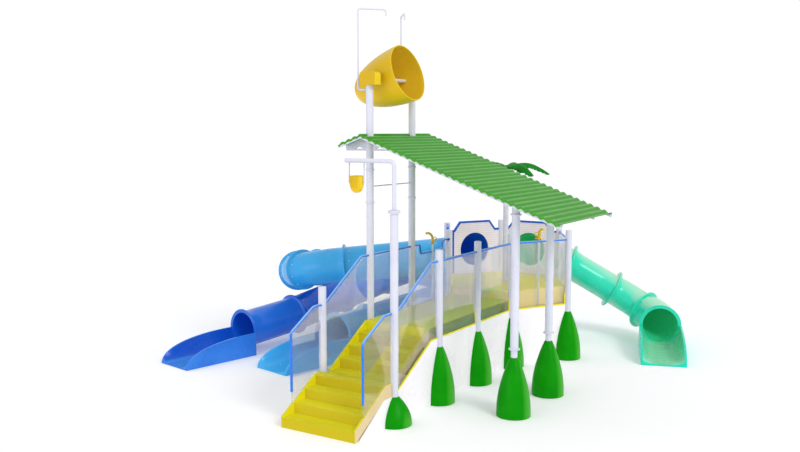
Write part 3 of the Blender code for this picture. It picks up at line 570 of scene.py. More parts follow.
# %% Roof posts on their stubs
roof_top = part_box("post_roof_front")[1][2]
for letter, node in (("e", "roof_front"), ("f", "roof_back")):
    # A stub, a pair of flanges, the pipe, and another pair under the roof.
    line = [(0, 1.0), (0.0575, 1.0), (0.0575, 1.17), (0.098, 1.17), (0.1, 1.172), (0.1, 1.19), (0.098, 1.192),
            (0.072, 1.192), (0.072, 3.50), (0.098, 3.50), (0.1, 3.502), (0.1, 3.52), (0.098, 3.522), (0.072, 3.522),
            (0.072, roof_top), (0, roof_top)]
    post(letter, node, line, neck=0.0675)
print("roof posts reach", round(roof_top, 3))

# %% Tower posts with their water spouts
SPOUT_Z = 7.18
for letter, node, way in (("p1", "tower_front", 1), ("p2", "tower_back", -1)):
    post(letter, node, pipe_profile(1.0, 5.77, POST_R, ((3.59, 0.086, 0.014), (4.205, 0.086, 0.014))))
    bends = [(0.05, 0, 5.69), (-0.26, 0, 5.69), (-0.26, 0, SPOUT_Z), (0.085, way * 0.42, SPOUT_Z),
             (0.085, way * 0.42, SPOUT_Z - 0.12)]
    coated(carry(f"spout_{node}", filleted(feet[letter] + np.array(bends), 0.06), disc(0.019)))
print("tower posts and spouts made")

# %% [markdown]
# ## Stair, decks and skirts
# These are plain flat-sided mouldings, and the solids already have their form. What they lack is the
# small radius that every real moulding has along its edges, because that is where the light catches.
# A copy of each solid gets that radius from a bevel, and a finish with painted light and shade by facing,
# deepest on the risers. The outer side of the stair that looks right is much paler in the light, so those
# faces get a paler copy of the finish: painted light.

# %% Flat mouldings with soft edges
for node in ("lower_flight", "upper_flight"):
    flight = softened(node + "_moulding", node, stair_yellow)
    # The outer faces that look right take the paler copy: painted light.
    looks_right = face_values(flight, "normal")[:, 0] > 0.9
    outermost = face_values(flight, "center")[:, 0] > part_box(node)[1][0] - 0.01
    second_finish(flight, looks_right & outermost, stair_painted_lit_side)
softened("main_deck_tray", "main_deck", deck_yellow)
softened("hex_deck_tray", "hex_deck", peach_yellow)
for node in ("skirt_right", "skirt_left", "skirt_dg", "skirt_gh", "skirt_hi", "skirt_ij", "skirt_jp4"):
    softened(node + "_sheet", node, white_panel, 0.002)
for node in ("roof_frame_front", "roof_frame_back"):
    softened(node + "_truss", node, white_coat, 0.003)
for node in ("bearing_front", "bearing_back"):
    softened(node + "_housing", node, amber_gel, 0.008)
print("flat mouldings softened")

# %% [markdown]
# ## Guards
# A guard is three parts on the real tower: the clear sheet, a yellow channel that holds its foot, and a
# blue rail along its top. The rail is a round bar whose bends are filleted, and the channel is a square
# strip that turns up at both ends. Each one is drawn in the plane between its two posts.

# %% A guard from its three parts
def guard(name, start, end, outline, rail, channel, out=0.0):
    """Clear sheet from its outline, rail and channel each carried along a line of that plane."""
    plane = upright(start, end)
    moved = (plane[0] + out * plane[2], plane[1], plane[2])
    sheet = plate("sheet_" + name, outline, moved, 0.012, 0.002)
    hand_over(sheet, clear, stands_for=("guard_" + name,))
    bar = filleted(on_plane(moved, rail), 0.05)
    hand_over(carry("rail_" + name, bar, disc(0.0225)), rail_blue)
    if channel is not None:
        path = on_plane(plane, channel)
        hand_over(carry("channel_" + name, path, strip(0.03, 0.03), plane[2]), trim_yellow)


print("guard parts ready")

# %% A level guard
S0, S1 = POST_R + SEAT, BAY - POST_R - SEAT
SHEET_GAP, CHANNEL_HALF, CHANNEL_END_Z = 0.015, 0.015, 1.42
NOTCH_FROM, NOTCH_TO, NOTCH_Z, NOTCH_RUN = 0.30, 1.27, 2.41, 0.05


def level_guard(name, start, end, notch=False):
    """A guard with a level rail. A notch lowers the rail where a water cannon is aimed over it."""
    rail = [(S0, RAIL_Z), (S1, RAIL_Z)]
    if notch:
        rail = [(S0, RAIL_Z), (NOTCH_FROM, RAIL_Z), (NOTCH_FROM + NOTCH_RUN, NOTCH_Z),
                (NOTCH_TO - NOTCH_RUN, NOTCH_Z), (NOTCH_TO, RAIL_Z), (S1, RAIL_Z)]
    s0, s1 = S0 + SHEET_GAP, S1 - SHEET_GAP
    top = [(min(max(s, s0), s1), z) for s, z in reversed(rail)]
    outline = [(s0, DECK_LOW + 0.01), (s1, DECK_LOW + 0.01)] + top
    low = DECK_LOW + CHANNEL_HALF
    left, right = S0 + CHANNEL_HALF, S1 - CHANNEL_HALF
    channel = [(left, CHANNEL_END_Z), (left, low), (right, low), (right, CHANNEL_END_Z)]
    guard(name, start, end, outline, rail, channel)


print("clear width between two posts:", round(S1 - S0, 4))

# %% Level guards round the decks
level_guard("deck_right_1", feet["b"], feet["c"])
level_guard("deck_right_2", feet["c"], feet["d"])
level_guard("deck_left_1", feet["p1"], feet["p2"])
level_guard("deck_left_2", feet["p2"], feet["p4"], notch=True)
level_guard("hex_front", feet["d"], feet["g"])
level_guard("hex_side", feet["g"], feet["h"])
print("level guards made")

# %% Sloping guards beside the stair
LANDING_Z, LANDING_RAIL_Z, HAND_Z = 0.7174, 1.90, 1.56
FLIGHT_START, FLIGHT_RUN, FLIGHT_LOW, FLIGHT_HIGH = -2.65, 0.885, 0.19, 0.717
for side, foot, inward in (("right", "b", 0.02), ("left", "p1", -0.02)):
    plane_start = feet[foot] * [1, 0, 1]
    plane_end = plane_start + np.array([0, 1.0, 0])
    end = -BAY - POST_R - SEAT
    start = -2.40
    # The sheet's foot stands on the lower flight's side, which climbs in one straight line.
    base = FLIGHT_LOW + (FLIGHT_HIGH - FLIGHT_LOW) / FLIGHT_RUN * (start - FLIGHT_START) + 0.004
    outline = [(start, base), (-1.765, LANDING_Z), (end - SHEET_GAP, LANDING_Z), (end - SHEET_GAP, LANDING_RAIL_Z),
               (-1.78, LANDING_RAIL_Z), (start, HAND_Z)]
    rail = [(start, 0.55), (start, HAND_Z), (-1.78, LANDING_RAIL_Z), (end, LANDING_RAIL_Z)]
    guard(f"lower_{side}", plane_start, plane_end, outline, rail, None, -inward)
    s0, s1 = -BAY + POST_R + SEAT, -POST_R - SEAT
    outline = [(s0 + SHEET_GAP, 0.54), (-0.29, DECK_LOW + 0.01), (s1 - SHEET_GAP, DECK_LOW + 0.01),
               (s1 - SHEET_GAP, RAIL_Z), (-0.30, RAIL_Z), (s0 + SHEET_GAP, 1.924)]
    rail = [(s0, 1.915), (s0 + 0.03, 1.915), (-0.30, RAIL_Z), (s1, RAIL_Z)]
    channel = [(s, z + CHANNEL_HALF) for s, z in ((s0, 0.52), (-0.29, DECK_LOW), (s1, DECK_LOW))]
    guard(f"upper_{side}", plane_start, plane_end, outline, rail, channel)
print("sloping guards made")

# %% [markdown]
# ## Entry panels
# Each slide starts at a solid panel with a round hole and cut-off corners, edged with a blue strip. The
# panel is a ring: one side is the round hole and the other the outline, met by rays from the hole's
# centre. Carrying that pair from the front face to the back closes the piece with no boolean. The posts at
# the two ends of the row of panels each have a small blue clamp near the top.

# %% A panel round its hole
def rays_to(outline, centre, angles):
    """Where rays from the centre meet the outline: solve centre + r d = a + k (b - a) for every side at once."""
    outline = np.asarray(outline, float)
    a, b = outline, np.roll(outline, -1, axis=0)
    d = np.stack([np.cos(angles), np.sin(angles)], -1)
    side = b - a
    cross = d[:, None, 0] * side[None, :, 1] - d[:, None, 1] * side[None, :, 0]
    gap = a[None] - np.asarray(centre)
    skew = abs(cross) > 1e-9
    safe = np.where(skew, cross, 1.0)
    r = (gap[..., 0] * side[None, :, 1] - gap[..., 1] * side[None, :, 0]) / safe
    k = (gap[..., 0] * d[:, None, 1] - gap[..., 1] * d[:, None, 0]) / safe
    r = np.where(skew & (r > 0) & (k >= -1e-9) & (k <= 1 + 1e-9), r, 1e9).min(1)
    return np.asarray(centre) + r[:, None] * d


print("a ray straight right meets a unit square at", rays_to([(-1, -1), (1, -1), (1, 1), (-1, 1)], (0, 0), np.zeros(1)))

# %% Three entry panels
PANEL_HALF, HOLE_R, TRIM_IN = 0.015, 0.388, 0.085


def entry_panel(name, start, end, trim_down):
    """Six rings of ray ends: hole and outline on one face, outline and hole on the other, and the hole's wall."""
    plane = upright(start, end)
    shoulder, top, step, corner = 2.59, 2.79, 0.19, 0.345
    outline = np.array([(S0, DECK_LOW + SEAT), (S1, DECK_LOW + SEAT), (S1, shoulder), (BAY - step, shoulder),
                        (BAY - corner, top), (corner, top), (step, shoulder), (S0, shoulder)])
    centre = np.array([BAY / 2, HOLE_Z])
    corners = np.arctan2(*(outline - centre)[:, ::-1].T)
    angles = np.sort(np.concatenate([np.linspace(-np.pi, np.pi, 72, endpoint=False), corners]))
    edge = rays_to(outline, centre, angles)
    round_ring = np.stack([np.cos(angles), np.sin(angles)], -1)
    hole, lip = centre + HOLE_R * round_ring, centre + (HOLE_R + 0.003) * round_ring
    rings = [(lip, -PANEL_HALF), (edge, -PANEL_HALF), (edge, PANEL_HALF), (lip, PANEL_HALF),
             (hole, PANEL_HALF - 0.003), (hole, 0.003 - PANEL_HALF)]
    grid = [on_plane(plane, ring, out) for ring, out in rings]
    hand_over(skin("panel_" + name, np.array(grid), round_along=True), lined_panel,
              stands_for=("entry_panel_" + name,))
    line = [(S1 - TRIM_IN, trim_down), (S1 - TRIM_IN, shoulder), (BAY - step, shoulder), (BAY - corner, top),
            (corner, top), (step, shoulder), (S0 + 0.005, shoulder)]
    hand_over(carry("trim_" + name, on_plane(plane, line), strip(0.048, 0.046), plane[2]), trim_blue)


entry_panel("green", feet["h"], feet["i"], 2.50)
entry_panel("deep", feet["i"], feet["j"], 1.60)
entry_panel("sky", feet["j"], feet["p4"], 2.50)
print("entry panels made")

# %% Blue clamps near the tops of two posts
for letter in ("p4", "h"):
    away = np.array([0.045, -0.055, 0])
    block = [(-0.022, 2.575), (0.022, 2.575), (0.022, 2.625), (-0.022, 2.625)]
    clamp_plane = (feet[letter] + away, np.array([0.777, 0.629, 0]), np.array([0.629, -0.777, 0]))
    hand_over(plate("clamp_" + letter, block, clamp_plane, 0.03, 0.005), trim_blue)
print("clamps made")

# %% [markdown]
# ## Tube slides
# A tube slide is bolted together from straight and curved lengths with a raised flange at each joint. Its
# centre line is a list of runs and bends, each with its own fall. Rings stand upright along it, and the
# ring at a joint leans with the fall, as the two flanges there are square to the tube. The outer skin,
# with the flanges in its profile, returns along the inside as the bore, so the tube has a real wall.

# %% The centre lines
ROUTES = {
    "sky": ("j", "p4", [
        ("run", 2.29, 0, 0.10, 1), ("run", 0.40, 0, 0.10, 0), ("bend", -49, 0.8, 0.18, 1), ("bend", -36, 0.8, 0.18, 1),
        ("run", 0.50, 0, 0.10, 0), ("bend", -40, 1.6, 0.10, 1), ("run", 1.70, 0, 0.10, 1),
        ("bend", -62, 1.45, 0.11, 0), ("bend", -62, 1.45, 0.11, 1), ("bend", -62.5, 1.45, 0.11, 1),
        ("run", 2.69, 0, 0.0815, 1), ("run", 0.962, 0, 0.0815, 0)]),
    "deep": ("i", "j", [
        ("run", 1.90, 0, 0.30, 1), ("bend", 109.2, 0.8, 0.27, 1), ("run", 1.50, 0, 0.17, 1), ("run", 1.55, 0, 0.17, 1),
        ("run", 1.48, 0, 0.094, 0)]),
    "green": ("h", "i", [
        ("run", 0.05, 0, 0.25, 0), ("bend", -65.25, 1.035, 0.34, 1), ("run", 1.04, 0, 0.588, 1),
        ("bend", -45.12, 1.018, 0.539, 1), ("bend", -50.63, 0.955, 0.204, 0), ("run", 0.10, 0, 0.123, 0)]),
}
print("routes:", ", ".join(ROUTES))

# %% Stations along a route
RUN_STEP, BEND_STEP = 0.3, 6.0


def centre_line(start, end, legs):
    """Stations (x, y, z, heading, fall, mark), with mark 1 at a joint, 2 at the start and 3 at the mouth."""
    along = (end - start) / np.linalg.norm(end - start)
    out = np.array([-along[1], along[0], 0])
    out *= np.sign(np.dot((start + end)[:2] / 2 - HEX_CENTRE, out[:2]))
    point = (start + end) / 2 + out * (PANEL_HALF + SEAT) + HOLE_Z * UP
    heading = math.atan2(out[1], out[0])
    rows = [(*point, heading, legs[0][3], 2)]
    for number, (kind, amount, radius, fall, flange) in enumerate(legs):
        count = max(2, round(amount / RUN_STEP if kind == "run" else abs(amount) / BEND_STEP))
        turn = 0.0 if kind == "run" else math.radians(amount) / count
        length = amount / count if kind == "run" else radius * abs(turn)
        chord = length if kind == "run" else 2 * radius * math.sin(abs(turn) / 2)
        middles = heading + turn * (np.arange(count) + 0.5)
        moves = np.stack([chord * np.cos(middles), chord * np.sin(middles), np.full(count, -fall * length)], -1)
        places = point + np.cumsum(moves, axis=0)
        point, heading = places[-1], heading + turn * count
        last = number == len(legs) - 1
        slope = fall if last else (fall + legs[number + 1][3]) / 2
        marks = [0] * (count - 1) + [3 if last else flange]
        falls = [fall] * (count - 1) + [slope]
        turned = heading - turn * (count - 1 - np.arange(count))
        rows += [(*p, h, f, m) for p, h, f, m in zip(places, turned, falls, marks)]
    return np.array(rows)


print("steps along runs and bends:", RUN_STEP, "m and", BEND_STEP, "degrees")


# %% Room for leaning joints
def sparse(stations):
    """Leave out plain stations nearer to a joint than 0.44 times the sine of its lean, plus 0.05."""
    joints = stations[stations[:, 5] == 1]
    gaps = np.linalg.norm(stations[:, None, :3] - joints[None, :, :3], axis=-1)
    room = 0.44 * np.sqrt(joints[:, 4] ** 2 / (1 + joints[:, 4] ** 2)) + 0.05
    return stations[(stations[:, 5] > 0) | (gaps > room[None]).all(1)]


stations_of = {name: sparse(centre_line(feet[start], feet[end], legs)) for name, (start, end, legs) in ROUTES.items()}
print("stations:", {name: len(rows) for name, rows in stations_of.items()})


# %% Rings along a centre line
TUBE_R, TUBE_WALL, FLANGE_R, SIDES = 0.40, 0.012, 0.465, 64


def rings_at(stations, radius, shift):
    """Ring point = centre + shift ahead + radius (cos t side + sin t up), for all stations at once."""
    heading, fall = stations[:, 3], stations[:, 4] * (stations[:, 5] == 1)
    flat = np.stack([np.cos(heading), np.sin(heading), 0 * heading], -1)
    side = np.stack([-np.sin(heading), np.cos(heading), 0 * heading], -1)
    lean = np.sqrt(1 + fall ** 2)[:, None]
    ahead = (flat - fall[:, None] * UP) / lean
    up = (fall[:, None] * flat + UP) / lean
    up = np.where(radius[:, None] < FLANGE_R - 0.02, up / lean, up)
    t = np.linspace(0, 2 * np.pi, SIDES, endpoint=False)[None, :, None]
    centre = (stations[:, :3] + shift[:, None] * ahead)[:, None]
    return centre + radius[:, None, None] * (np.cos(t) * side[:, None] + np.sin(t) * up[:, None])


print("sides of a tube:", SIDES)

# %% A tube with its flanges and its bore
# Each mark has the outer profile (radius, shift) that its station gets: plain, joint, start and mouth.
BEAD = [(TUBE_R, -0.045), (TUBE_R + 0.012, -0.028), (FLANGE_R - 0.012, -0.0225), (FLANGE_R, -0.012),
        (FLANGE_R, 0.012), (FLANGE_R - 0.012, 0.0225), (TUBE_R + 0.012, 0.028), (TUBE_R, 0.045)]
LEVELS = {0: [(TUBE_R, 0)], 1: BEAD, 2: [(FLANGE_R, 0.0), (FLANGE_R, 0.0225), (TUBE_R, 0.03)],
          3: BEAD[:4] + [(FLANGE_R, 0.0)]}


def tube(name, stations, material, slot, inner):
    """The outer profile station by station, then the bore back to the start, closed into one skin."""
    outside = [(row, radius, shift) for row in stations for radius, shift in LEVELS[int(row[5])]]
    grid = rings_at(*(np.array(part) for part in zip(*outside)))
    bore = rings_at(stations[::-1], np.full(len(stations), TUBE_R - TUBE_WALL), np.zeros(len(stations)))
    piece = skin("tube_" + name, np.concatenate([grid, bore]), round_along=True, soft_angle=50)
    hand_over(piece, material, stands_for=("slide_" + name,))
    second_finish(piece, np.arange(len(piece.data.polygons)) // SIDES >= len(grid), inner)


print("points across a joint:", len(BEAD))

# %% [markdown]
# ## Run-outs
# Below each mouth the slide ends in an open trough that lies on the ground. Its channel is nearly flat
# in the middle and turns up into the walls, and the tops of the walls fall in a quarter curve to the
# front lip. Both are one formula over how far along and how far across a point is.

# %% A trough below a mouth
TROUGH_HALF, TROUGH_LONG, WALL_Z, ROUND = 0.47, 1.80, 0.50, 2.3


def trough(name, mouth, material, slot, bed=None, edge=None):
    """Inside, height = floor + (wall - floor) |a|^5 across; wall tops follow (1 - s^ROUND)^(1/ROUND) along."""
    heading = mouth[3]
    ahead = np.array([math.cos(heading), math.sin(heading), 0])
    side = np.array([-math.sin(heading), math.cos(heading), 0])
    share = np.sin(np.pi / 2 * np.linspace(0, 1, 29))[:, None]
    floor = 0.105 - 0.075 * share
    wall = np.maximum(WALL_Z * (1 - share ** ROUND) ** (1 / ROUND), floor + 0.006)
    a = np.linspace(-1, 1, 41)[None]
    inside = floor + (wall - floor) * abs(a) ** 5
    round_in, round_out = wall + 0 * a[:, :1], wall - 0.006
    outer = np.array([TROUGH_HALF - 0.006, TROUGH_HALF, TROUGH_HALF])
    across = np.concatenate([-outer[::-1], 0.425 * a[0], outer])
    height = np.concatenate([0 * wall, round_out, round_in, inside, round_in, round_out, 0 * wall], axis=1)
    start = np.array([mouth[0], mouth[1], 0])
    base = start + (SEAT + TROUGH_LONG * share) * ahead
    grid = base[:, None] + across[None, :, None] * side + height[..., None] * UP
    piece = skin("trough_" + name, grid, capped=True, soft_angle=35)
    hand_over(piece, material, stands_for=("runout_" + name,))
    if bed:
        spot = face_values(piece, "center") - start
        second_finish(piece, (abs(spot @ side) < TROUGH_HALF - 0.05) & (spot @ ahead < TROUGH_LONG - 0.03), bed)
        piece.data.materials[0] = edge
    print("trough", name, "heading", round(math.degrees(heading) % 360, 1))


print("a trough is", 2 * TROUGH_HALF, "by", TROUGH_LONG)

# %% The three slides
GEL = {"sky": (sky_gel, "sky_moulding"), "deep": (deep_gel, "deep_moulding"), "green": (sea_gel, "sea_moulding")}
BORE = {"sky": sky_bore, "deep": deep_bore, "green": sea_bore}
BED = {"green": (sea_bed, sea_rim), "deep": (deep_bed, deep_edge)}
for name, stations in stations_of.items():
    tube(name, stations, *GEL[name], BORE[name])
    trough(name, stations[-1], *GEL[name], *BED.get(name, ()))
print("slides made")

# %% [markdown]
# ## Bolts beside the flanges
# Small bolts with domed heads show white against the blue gel coat. One dome is a grid of a few rows,
# and all the domes of a slide are copies of it set round the tube, worked out as one array.

# %% Domed bolts round the joints
BOLT_R, BOLT_BACK = 0.013, 0.11


def bolts(name, stations, angles):
    """Each dome stands on the tube: centre + r (cos t side + sin t up), a little behind the joint."""
    joints = stations[stations[:, 5] == 1]
    t = np.radians(angles)
    tilt = np.linspace(0, np.pi / 2, 4)
    turn = np.linspace(0, 2 * np.pi, 10, endpoint=False)
    cap = np.stack([np.outer(np.cos(tilt), np.cos(turn)), np.outer(np.cos(tilt), np.sin(turn)),
                    np.outer(np.sin(tilt), np.ones(10)) * 0.7], -1)
    ring = np.stack([np.cos(turn), np.sin(turn), 0 * turn - 0.3], -1)[None]
    dome = np.concatenate([ring * UP, ring, cap]) * BOLT_R
    domes = []
    for row in joints:
        flat = np.array([math.cos(row[3]), math.sin(row[3]), 0])
        side = np.array([-math.sin(row[3]), math.cos(row[3]), 0])
        for angle in t:
            out = math.cos(angle) * side + math.sin(angle) * UP
            around = np.cross(out, flat)
            foot = row[:3] - (flat - row[4] * UP) * BOLT_BACK + TUBE_R * out
            domes.append(foot + dome[..., :1] * flat + dome[..., 1:2] * around + dome[..., 2:] * out)
    rows, columns = dome.shape[:2]
    starts = np.arange(len(domes))[:, None, None] * rows * columns
    quads = (grid_faces(rows, columns)[None] + starts).reshape(-1, 4)
    mesh = bpy.data.meshes.new("bolts_" + name)
    mesh.from_pydata(np.concatenate(domes).reshape(-1, 3), [], quads.tolist())
    hand_over(cleaned("bolts_" + name, mesh, 180, turned_out), bolt_metal)
    return len(domes)


for name in ("sky", "deep"):
    print("bolts on", name, bolts(name, stations_of[name], [-160, -125, -55, -20, 20, 55, 125, 160]))

# %% [markdown]
# ## The ribbed roof
# The roof is one coated sheet folded over a ridge, and its ribs run from gable to gable. Height across
# the roof is the slope plus a rib wave. A plain sine would look soft, so the wave is flattened into
# narrow valleys and broad rounded ribs. The sheet is thin, and two holes let the tower posts through.

# %% Roof sheet
RIDGE_X, RIDGE_Z, SLOPE = -1.55, 4.84, 0.37
LEFT, RIGHT, FRONT, BACK = -2.045, 2.40, -0.26, 2.26
RIB, RIB_DEEP, THIN = 0.145 / math.sqrt(1 + SLOPE ** 2), 0.035, 0.012
ROOF_STEPS = 384


def slope_height(x):
    """The ridge's height, less the slope times the distance from it."""
    return RIDGE_Z - SLOPE * abs(x - RIDGE_X)


def roof_height(x):
    """Slope from the ridge, plus RIB_DEEP times the share (0.5 - 0.5 cos) ** 0.7 of each rib."""
    phase = (x - LEFT) / RIB - 0.15
    wave = np.clip(0.5 - 0.5 * np.cos(2 * np.pi * phase), 0, 1) ** 0.7
    return slope_height(x) + RIB_DEEP * wave


x = np.linspace(LEFT, RIGHT, ROOF_STEPS + 1)
top, low = roof_height(x), roof_height(x) - THIN
section = np.concatenate([np.stack([x, top], -1), np.stack([x, low], -1)[::-1]])
y = np.array([FRONT, FRONT + 0.002, BACK - 0.002, BACK])
grid = np.stack([np.broadcast_to(section[:, 0], (4, len(section))), np.repeat(y[:, None], len(section), 1),
                 np.broadcast_to(section[:, 1], (4, len(section)))], -1)
roof = skin("roof_skin", grid[[0, 0, 1, 2, 3, 3]], capped=True, soft_angle=60)
print("roof points:", len(roof.data.vertices))

# %% Holes for the tower posts
for letter in ("p1", "p2"):
    column = [(0, 4.3), (POST_R + 0.001, 4.3), (POST_R + 0.001, 5.2), (0, 5.2)]
    drill = lathe("drill_" + letter, column, feet[letter])
    hole = roof.modifiers.new("hole", "BOOLEAN")
    hole.operation, hole.solver, hole.object = "DIFFERENCE", "EXACT", drill
    bpy.context.view_layer.update()
    drilled = bpy.data.meshes.new_from_object(roof.evaluated_get(bpy.context.evaluated_depsgraph_get()))
    roof.modifiers.clear()
    roof.data = drilled
    bpy.data.objects.remove(drill)
hand_over(roof, roof_coat, stands_for=("roof_sheet",))
print("roof triangles:", sum(len(p.vertices) - 2 for p in roof.data.polygons))

# %% Trim along the gables
# A green lip follows the ribs under each gable edge, and a white strip runs straight behind it.
valley = slope_height(x) - THIN
for number, (edge_y, inward) in enumerate(((FRONT + 0.002, 1), (BACK - 0.002, -1))):
    section = np.concatenate([np.stack([x, low + 0.002], -1), np.stack([x, low - 0.024], -1)[::-1]])
    rows = [np.insert(section, 1, edge_y + inward * depth, axis=1) for depth in (0.0, 0.014)]
    hand_over(skin(f"rib_lip_{number}", np.array(rows), capped=True), lip_green)
    ends = np.array([0, np.argmax(valley), len(x) - 1])
    line = np.stack([x[ends], np.full(3, edge_y + inward * 0.02), valley[ends] - 0.021], -1)
    coated(carry(f"gable_strip_{number}", line, strip(0.02, 0.038), (0, 1, 0)))
print("gable trims made")

# %% [markdown]
# ## The tipping buckets
# The big bucket is a bullet-shaped cup hung on a white axle between two housings. Its outline widens
# fast from the nose and then runs nearly straight to the rim, which the formula (1 - (1-s)^a)^b gives.
# The inside is the same line, drawn in by the wall, and the rim between them is rounded.

# %% Big bucket and its axle
PIVOT = np.array([-1.52, BAY / 2, 5.90])
TILT = math.radians(17.7)
BUCKET_R, BUCKET_LONG, PIVOT_AT, BUCKET_WALL, BUCKET_SIDES = 0.55, 1.207, 0.802, 0.02, 72
lean = np.array([[math.sin(TILT), 0, math.cos(TILT)], [0, 1, 0], [-math.cos(TILT), 0, math.sin(TILT)]])
share = np.linspace(0, 1, 34) ** 1.6
outer = np.stack([BUCKET_R * (1 - (1 - share) ** 1.87) ** 0.45, share * BUCKET_LONG - PIVOT_AT], -1)
inner = np.stack([np.maximum(outer[:, 0] - BUCKET_WALL, 0), outer[:, 1] + BUCKET_WALL * (1 - share)], -1)
inner = inner[outer[:, 0] > 0.03]
rim_z = BUCKET_LONG - PIVOT_AT
rim = [(BUCKET_R - 0.001, rim_z + 0.004), (BUCKET_R - 0.010, rim_z + 0.008), (BUCKET_R - 0.019, rim_z + 0.004)]
profile = np.vstack([outer, rim, inner[::-1], [(0, inner[0, 1])]])
shell = lathe("bucket_shell", profile, PIVOT, BUCKET_SIDES, lean)
moulded(shell, "big_bucket", body="big_bucket")
second_finish(shell, np.arange(len(shell.data.polygons)) // BUCKET_SIDES >= len(outer) + 1, amber_bore)
axle = [(PIVOT[0], 0.052, PIVOT[2]), (PIVOT[0], BAY - 0.052, PIVOT[2])]
coated(carry("bucket_axle", axle, disc(0.035, 32)), body="big_bucket")
tie = [(-BAY, S0, 3.89), (-BAY, S1, 3.89)]
coated(carry("tie_bar", tie, disc(0.011)), "tie_rod")
print("big bucket faces:", len(shell.data.polygons))

# %% Shower arm and small bucket
ARM_Z, PIN_Z = 4.43, 4.09
arm = filleted([(0, -BAY, 3.63), (0, -BAY, ARM_Z), (-0.98, -BAY, ARM_Z)], 0.10, 12)
coated(carry("arm_pipe", arm, disc(0.0375, 32)), "shower_arm")
flange = [(0, 3.6004), (0.098, 3.6004), (0.1, 3.603), (0.1, 3.622), (0.098, 3.6244), (0.0375, 3.6244), (0, 3.64)]
coated(lathe("arm_flange", flange, feet["a"]))
for number, at in enumerate((-0.901, -0.599)):
    hanger = [(at, -BAY, PIN_Z - 0.04), (at, -BAY, ARM_Z - 0.005)]
    coated(carry(f"hanger_{number}", hanger, strip(0.04, 0.008, 0.002), (0, 1, 0)))
cup_out = eased([(0.0, -0.204), (0.035, -0.200), (0.065, -0.186), (0.105, -0.13), (0.126, -0.03), (0.135, 0.08)])
cup_in = cup_out - np.array([0.008, -0.006]) * (cup_out[:, :1] > 0.01)
cup_in = np.vstack([[(0, -0.196)], cup_in[cup_in[:, 0] > 0.01]])
cup = np.vstack([cup_out, [(0.131, 0.083)], np.minimum(cup_in[::-1], [9, 0.08])])
moulded(lathe("small_cup", cup, (-0.75, -BAY, PIN_Z), 40), "small_bucket", body="small_bucket")
pin = [(-0.8966, -BAY, PIN_Z), (-0.6034, -BAY, PIN_Z)]
coated(carry("small_cup_pin", pin, disc(0.008, 12)), body="small_bucket")
print("small cup points:", len(cup))

# %% [markdown]
# ## Water cannons
# Two small nozzles swivel on pipes beside the deck. Each has a round foot, a curved barrel that ends in
# a mouth, and two hand loops. The barrel and the loops are round bars along smooth lines.

# %% Cannons on their pipes
def cannon(number, foot, top, aim):
    """A turned foot, a barrel and two loops, all placed from the pipe's top and the way it aims."""
    aim = np.array([*aim, 0.0]) / np.linalg.norm(aim)
    across = np.array([-aim[1], aim[0], 0])
    base = np.array([*foot, top + SEAT])
    low = DECK_LOW + 0.04
    coated(lathe(f"cannon_stem_{number}", [(0, low), (0.02, low), (0.02, top), (0, top)], (*foot, 0), 24),
           f"cannon_{number}_pipe")
    plinth = [(0, 0), (0.088, 0), (0.09, 0.003), (0.088, 0.011), (0.045, 0.016), (0.034, 0.024), (0.030, 0.06),
              (0, 0.064)]
    body = f"cannon_{number}"
    moulded(lathe(f"cannon_foot_{number}", plinth, base, 36), body, body=body)
    line = eased([(0.0, 0.03), (0.0, 0.10), (0.015, 0.15), (0.05, 0.19), (0.10, 0.21), (0.16, 0.205)], 5)
    barrel = base + line[:, :1] * aim + line[:, 1:] * UP
    moulded(carry(f"cannon_barrel_{number}", barrel, disc(0.026)), body=body)
    grip = eased([(0.0, 0.0, 0.05), (-0.03, 0.06, 0.05), (-0.05, 0.075, 0.09), (-0.04, 0.06, 0.13),
                  (0.0, 0.0, 0.13)], 5)
    for sign, side in ((-1, "a"), (1, "b")):
        loop = base + grip[:, :1] * aim + sign * grip[:, 1:2] * across + grip[:, 2:] * UP
        moulded(carry(f"cannon_grip_{number}{side}", loop, disc(0.009, 12)), body=body)


cannon(1, (-1.45, 2.25), 2.58, (-1, 0))
cannon(2, (0.3317, 3.67452), 2.65, (math.sqrt(3) / 2, -0.5))
print("cannons made")

# %% [markdown]
# ## The palm
# A white trunk stands in the middle of the far platform and carries a crown of drooping fronds. A frond
# is a long leaf: its middle line rises and then falls, its two halves hang from it, and its edge is cut
# into leaflets. All of that is a formula over the share along and the share across.

# %% Trunk and fronds
trunk_foot = np.array([*HEX_CENTRE, 0.0])
low, CROWN_Z = HEX_Z + SEAT, 4.08
trunk = [(0, low), (0.117, low), (0.12, low + 0.003), (0.12, low + 0.012), (0.117, low + 0.015), (0.06, low + 0.015),
         (0.06, CROWN_Z), (0, CROWN_Z)]
coated(lathe("trunk", trunk, trunk_foot), "palm_trunk")
FROND_LONG, FROND_WIDE, LEAFLETS, RISE, DROOP = 0.93, 0.125, 11, 0.16, 0.32


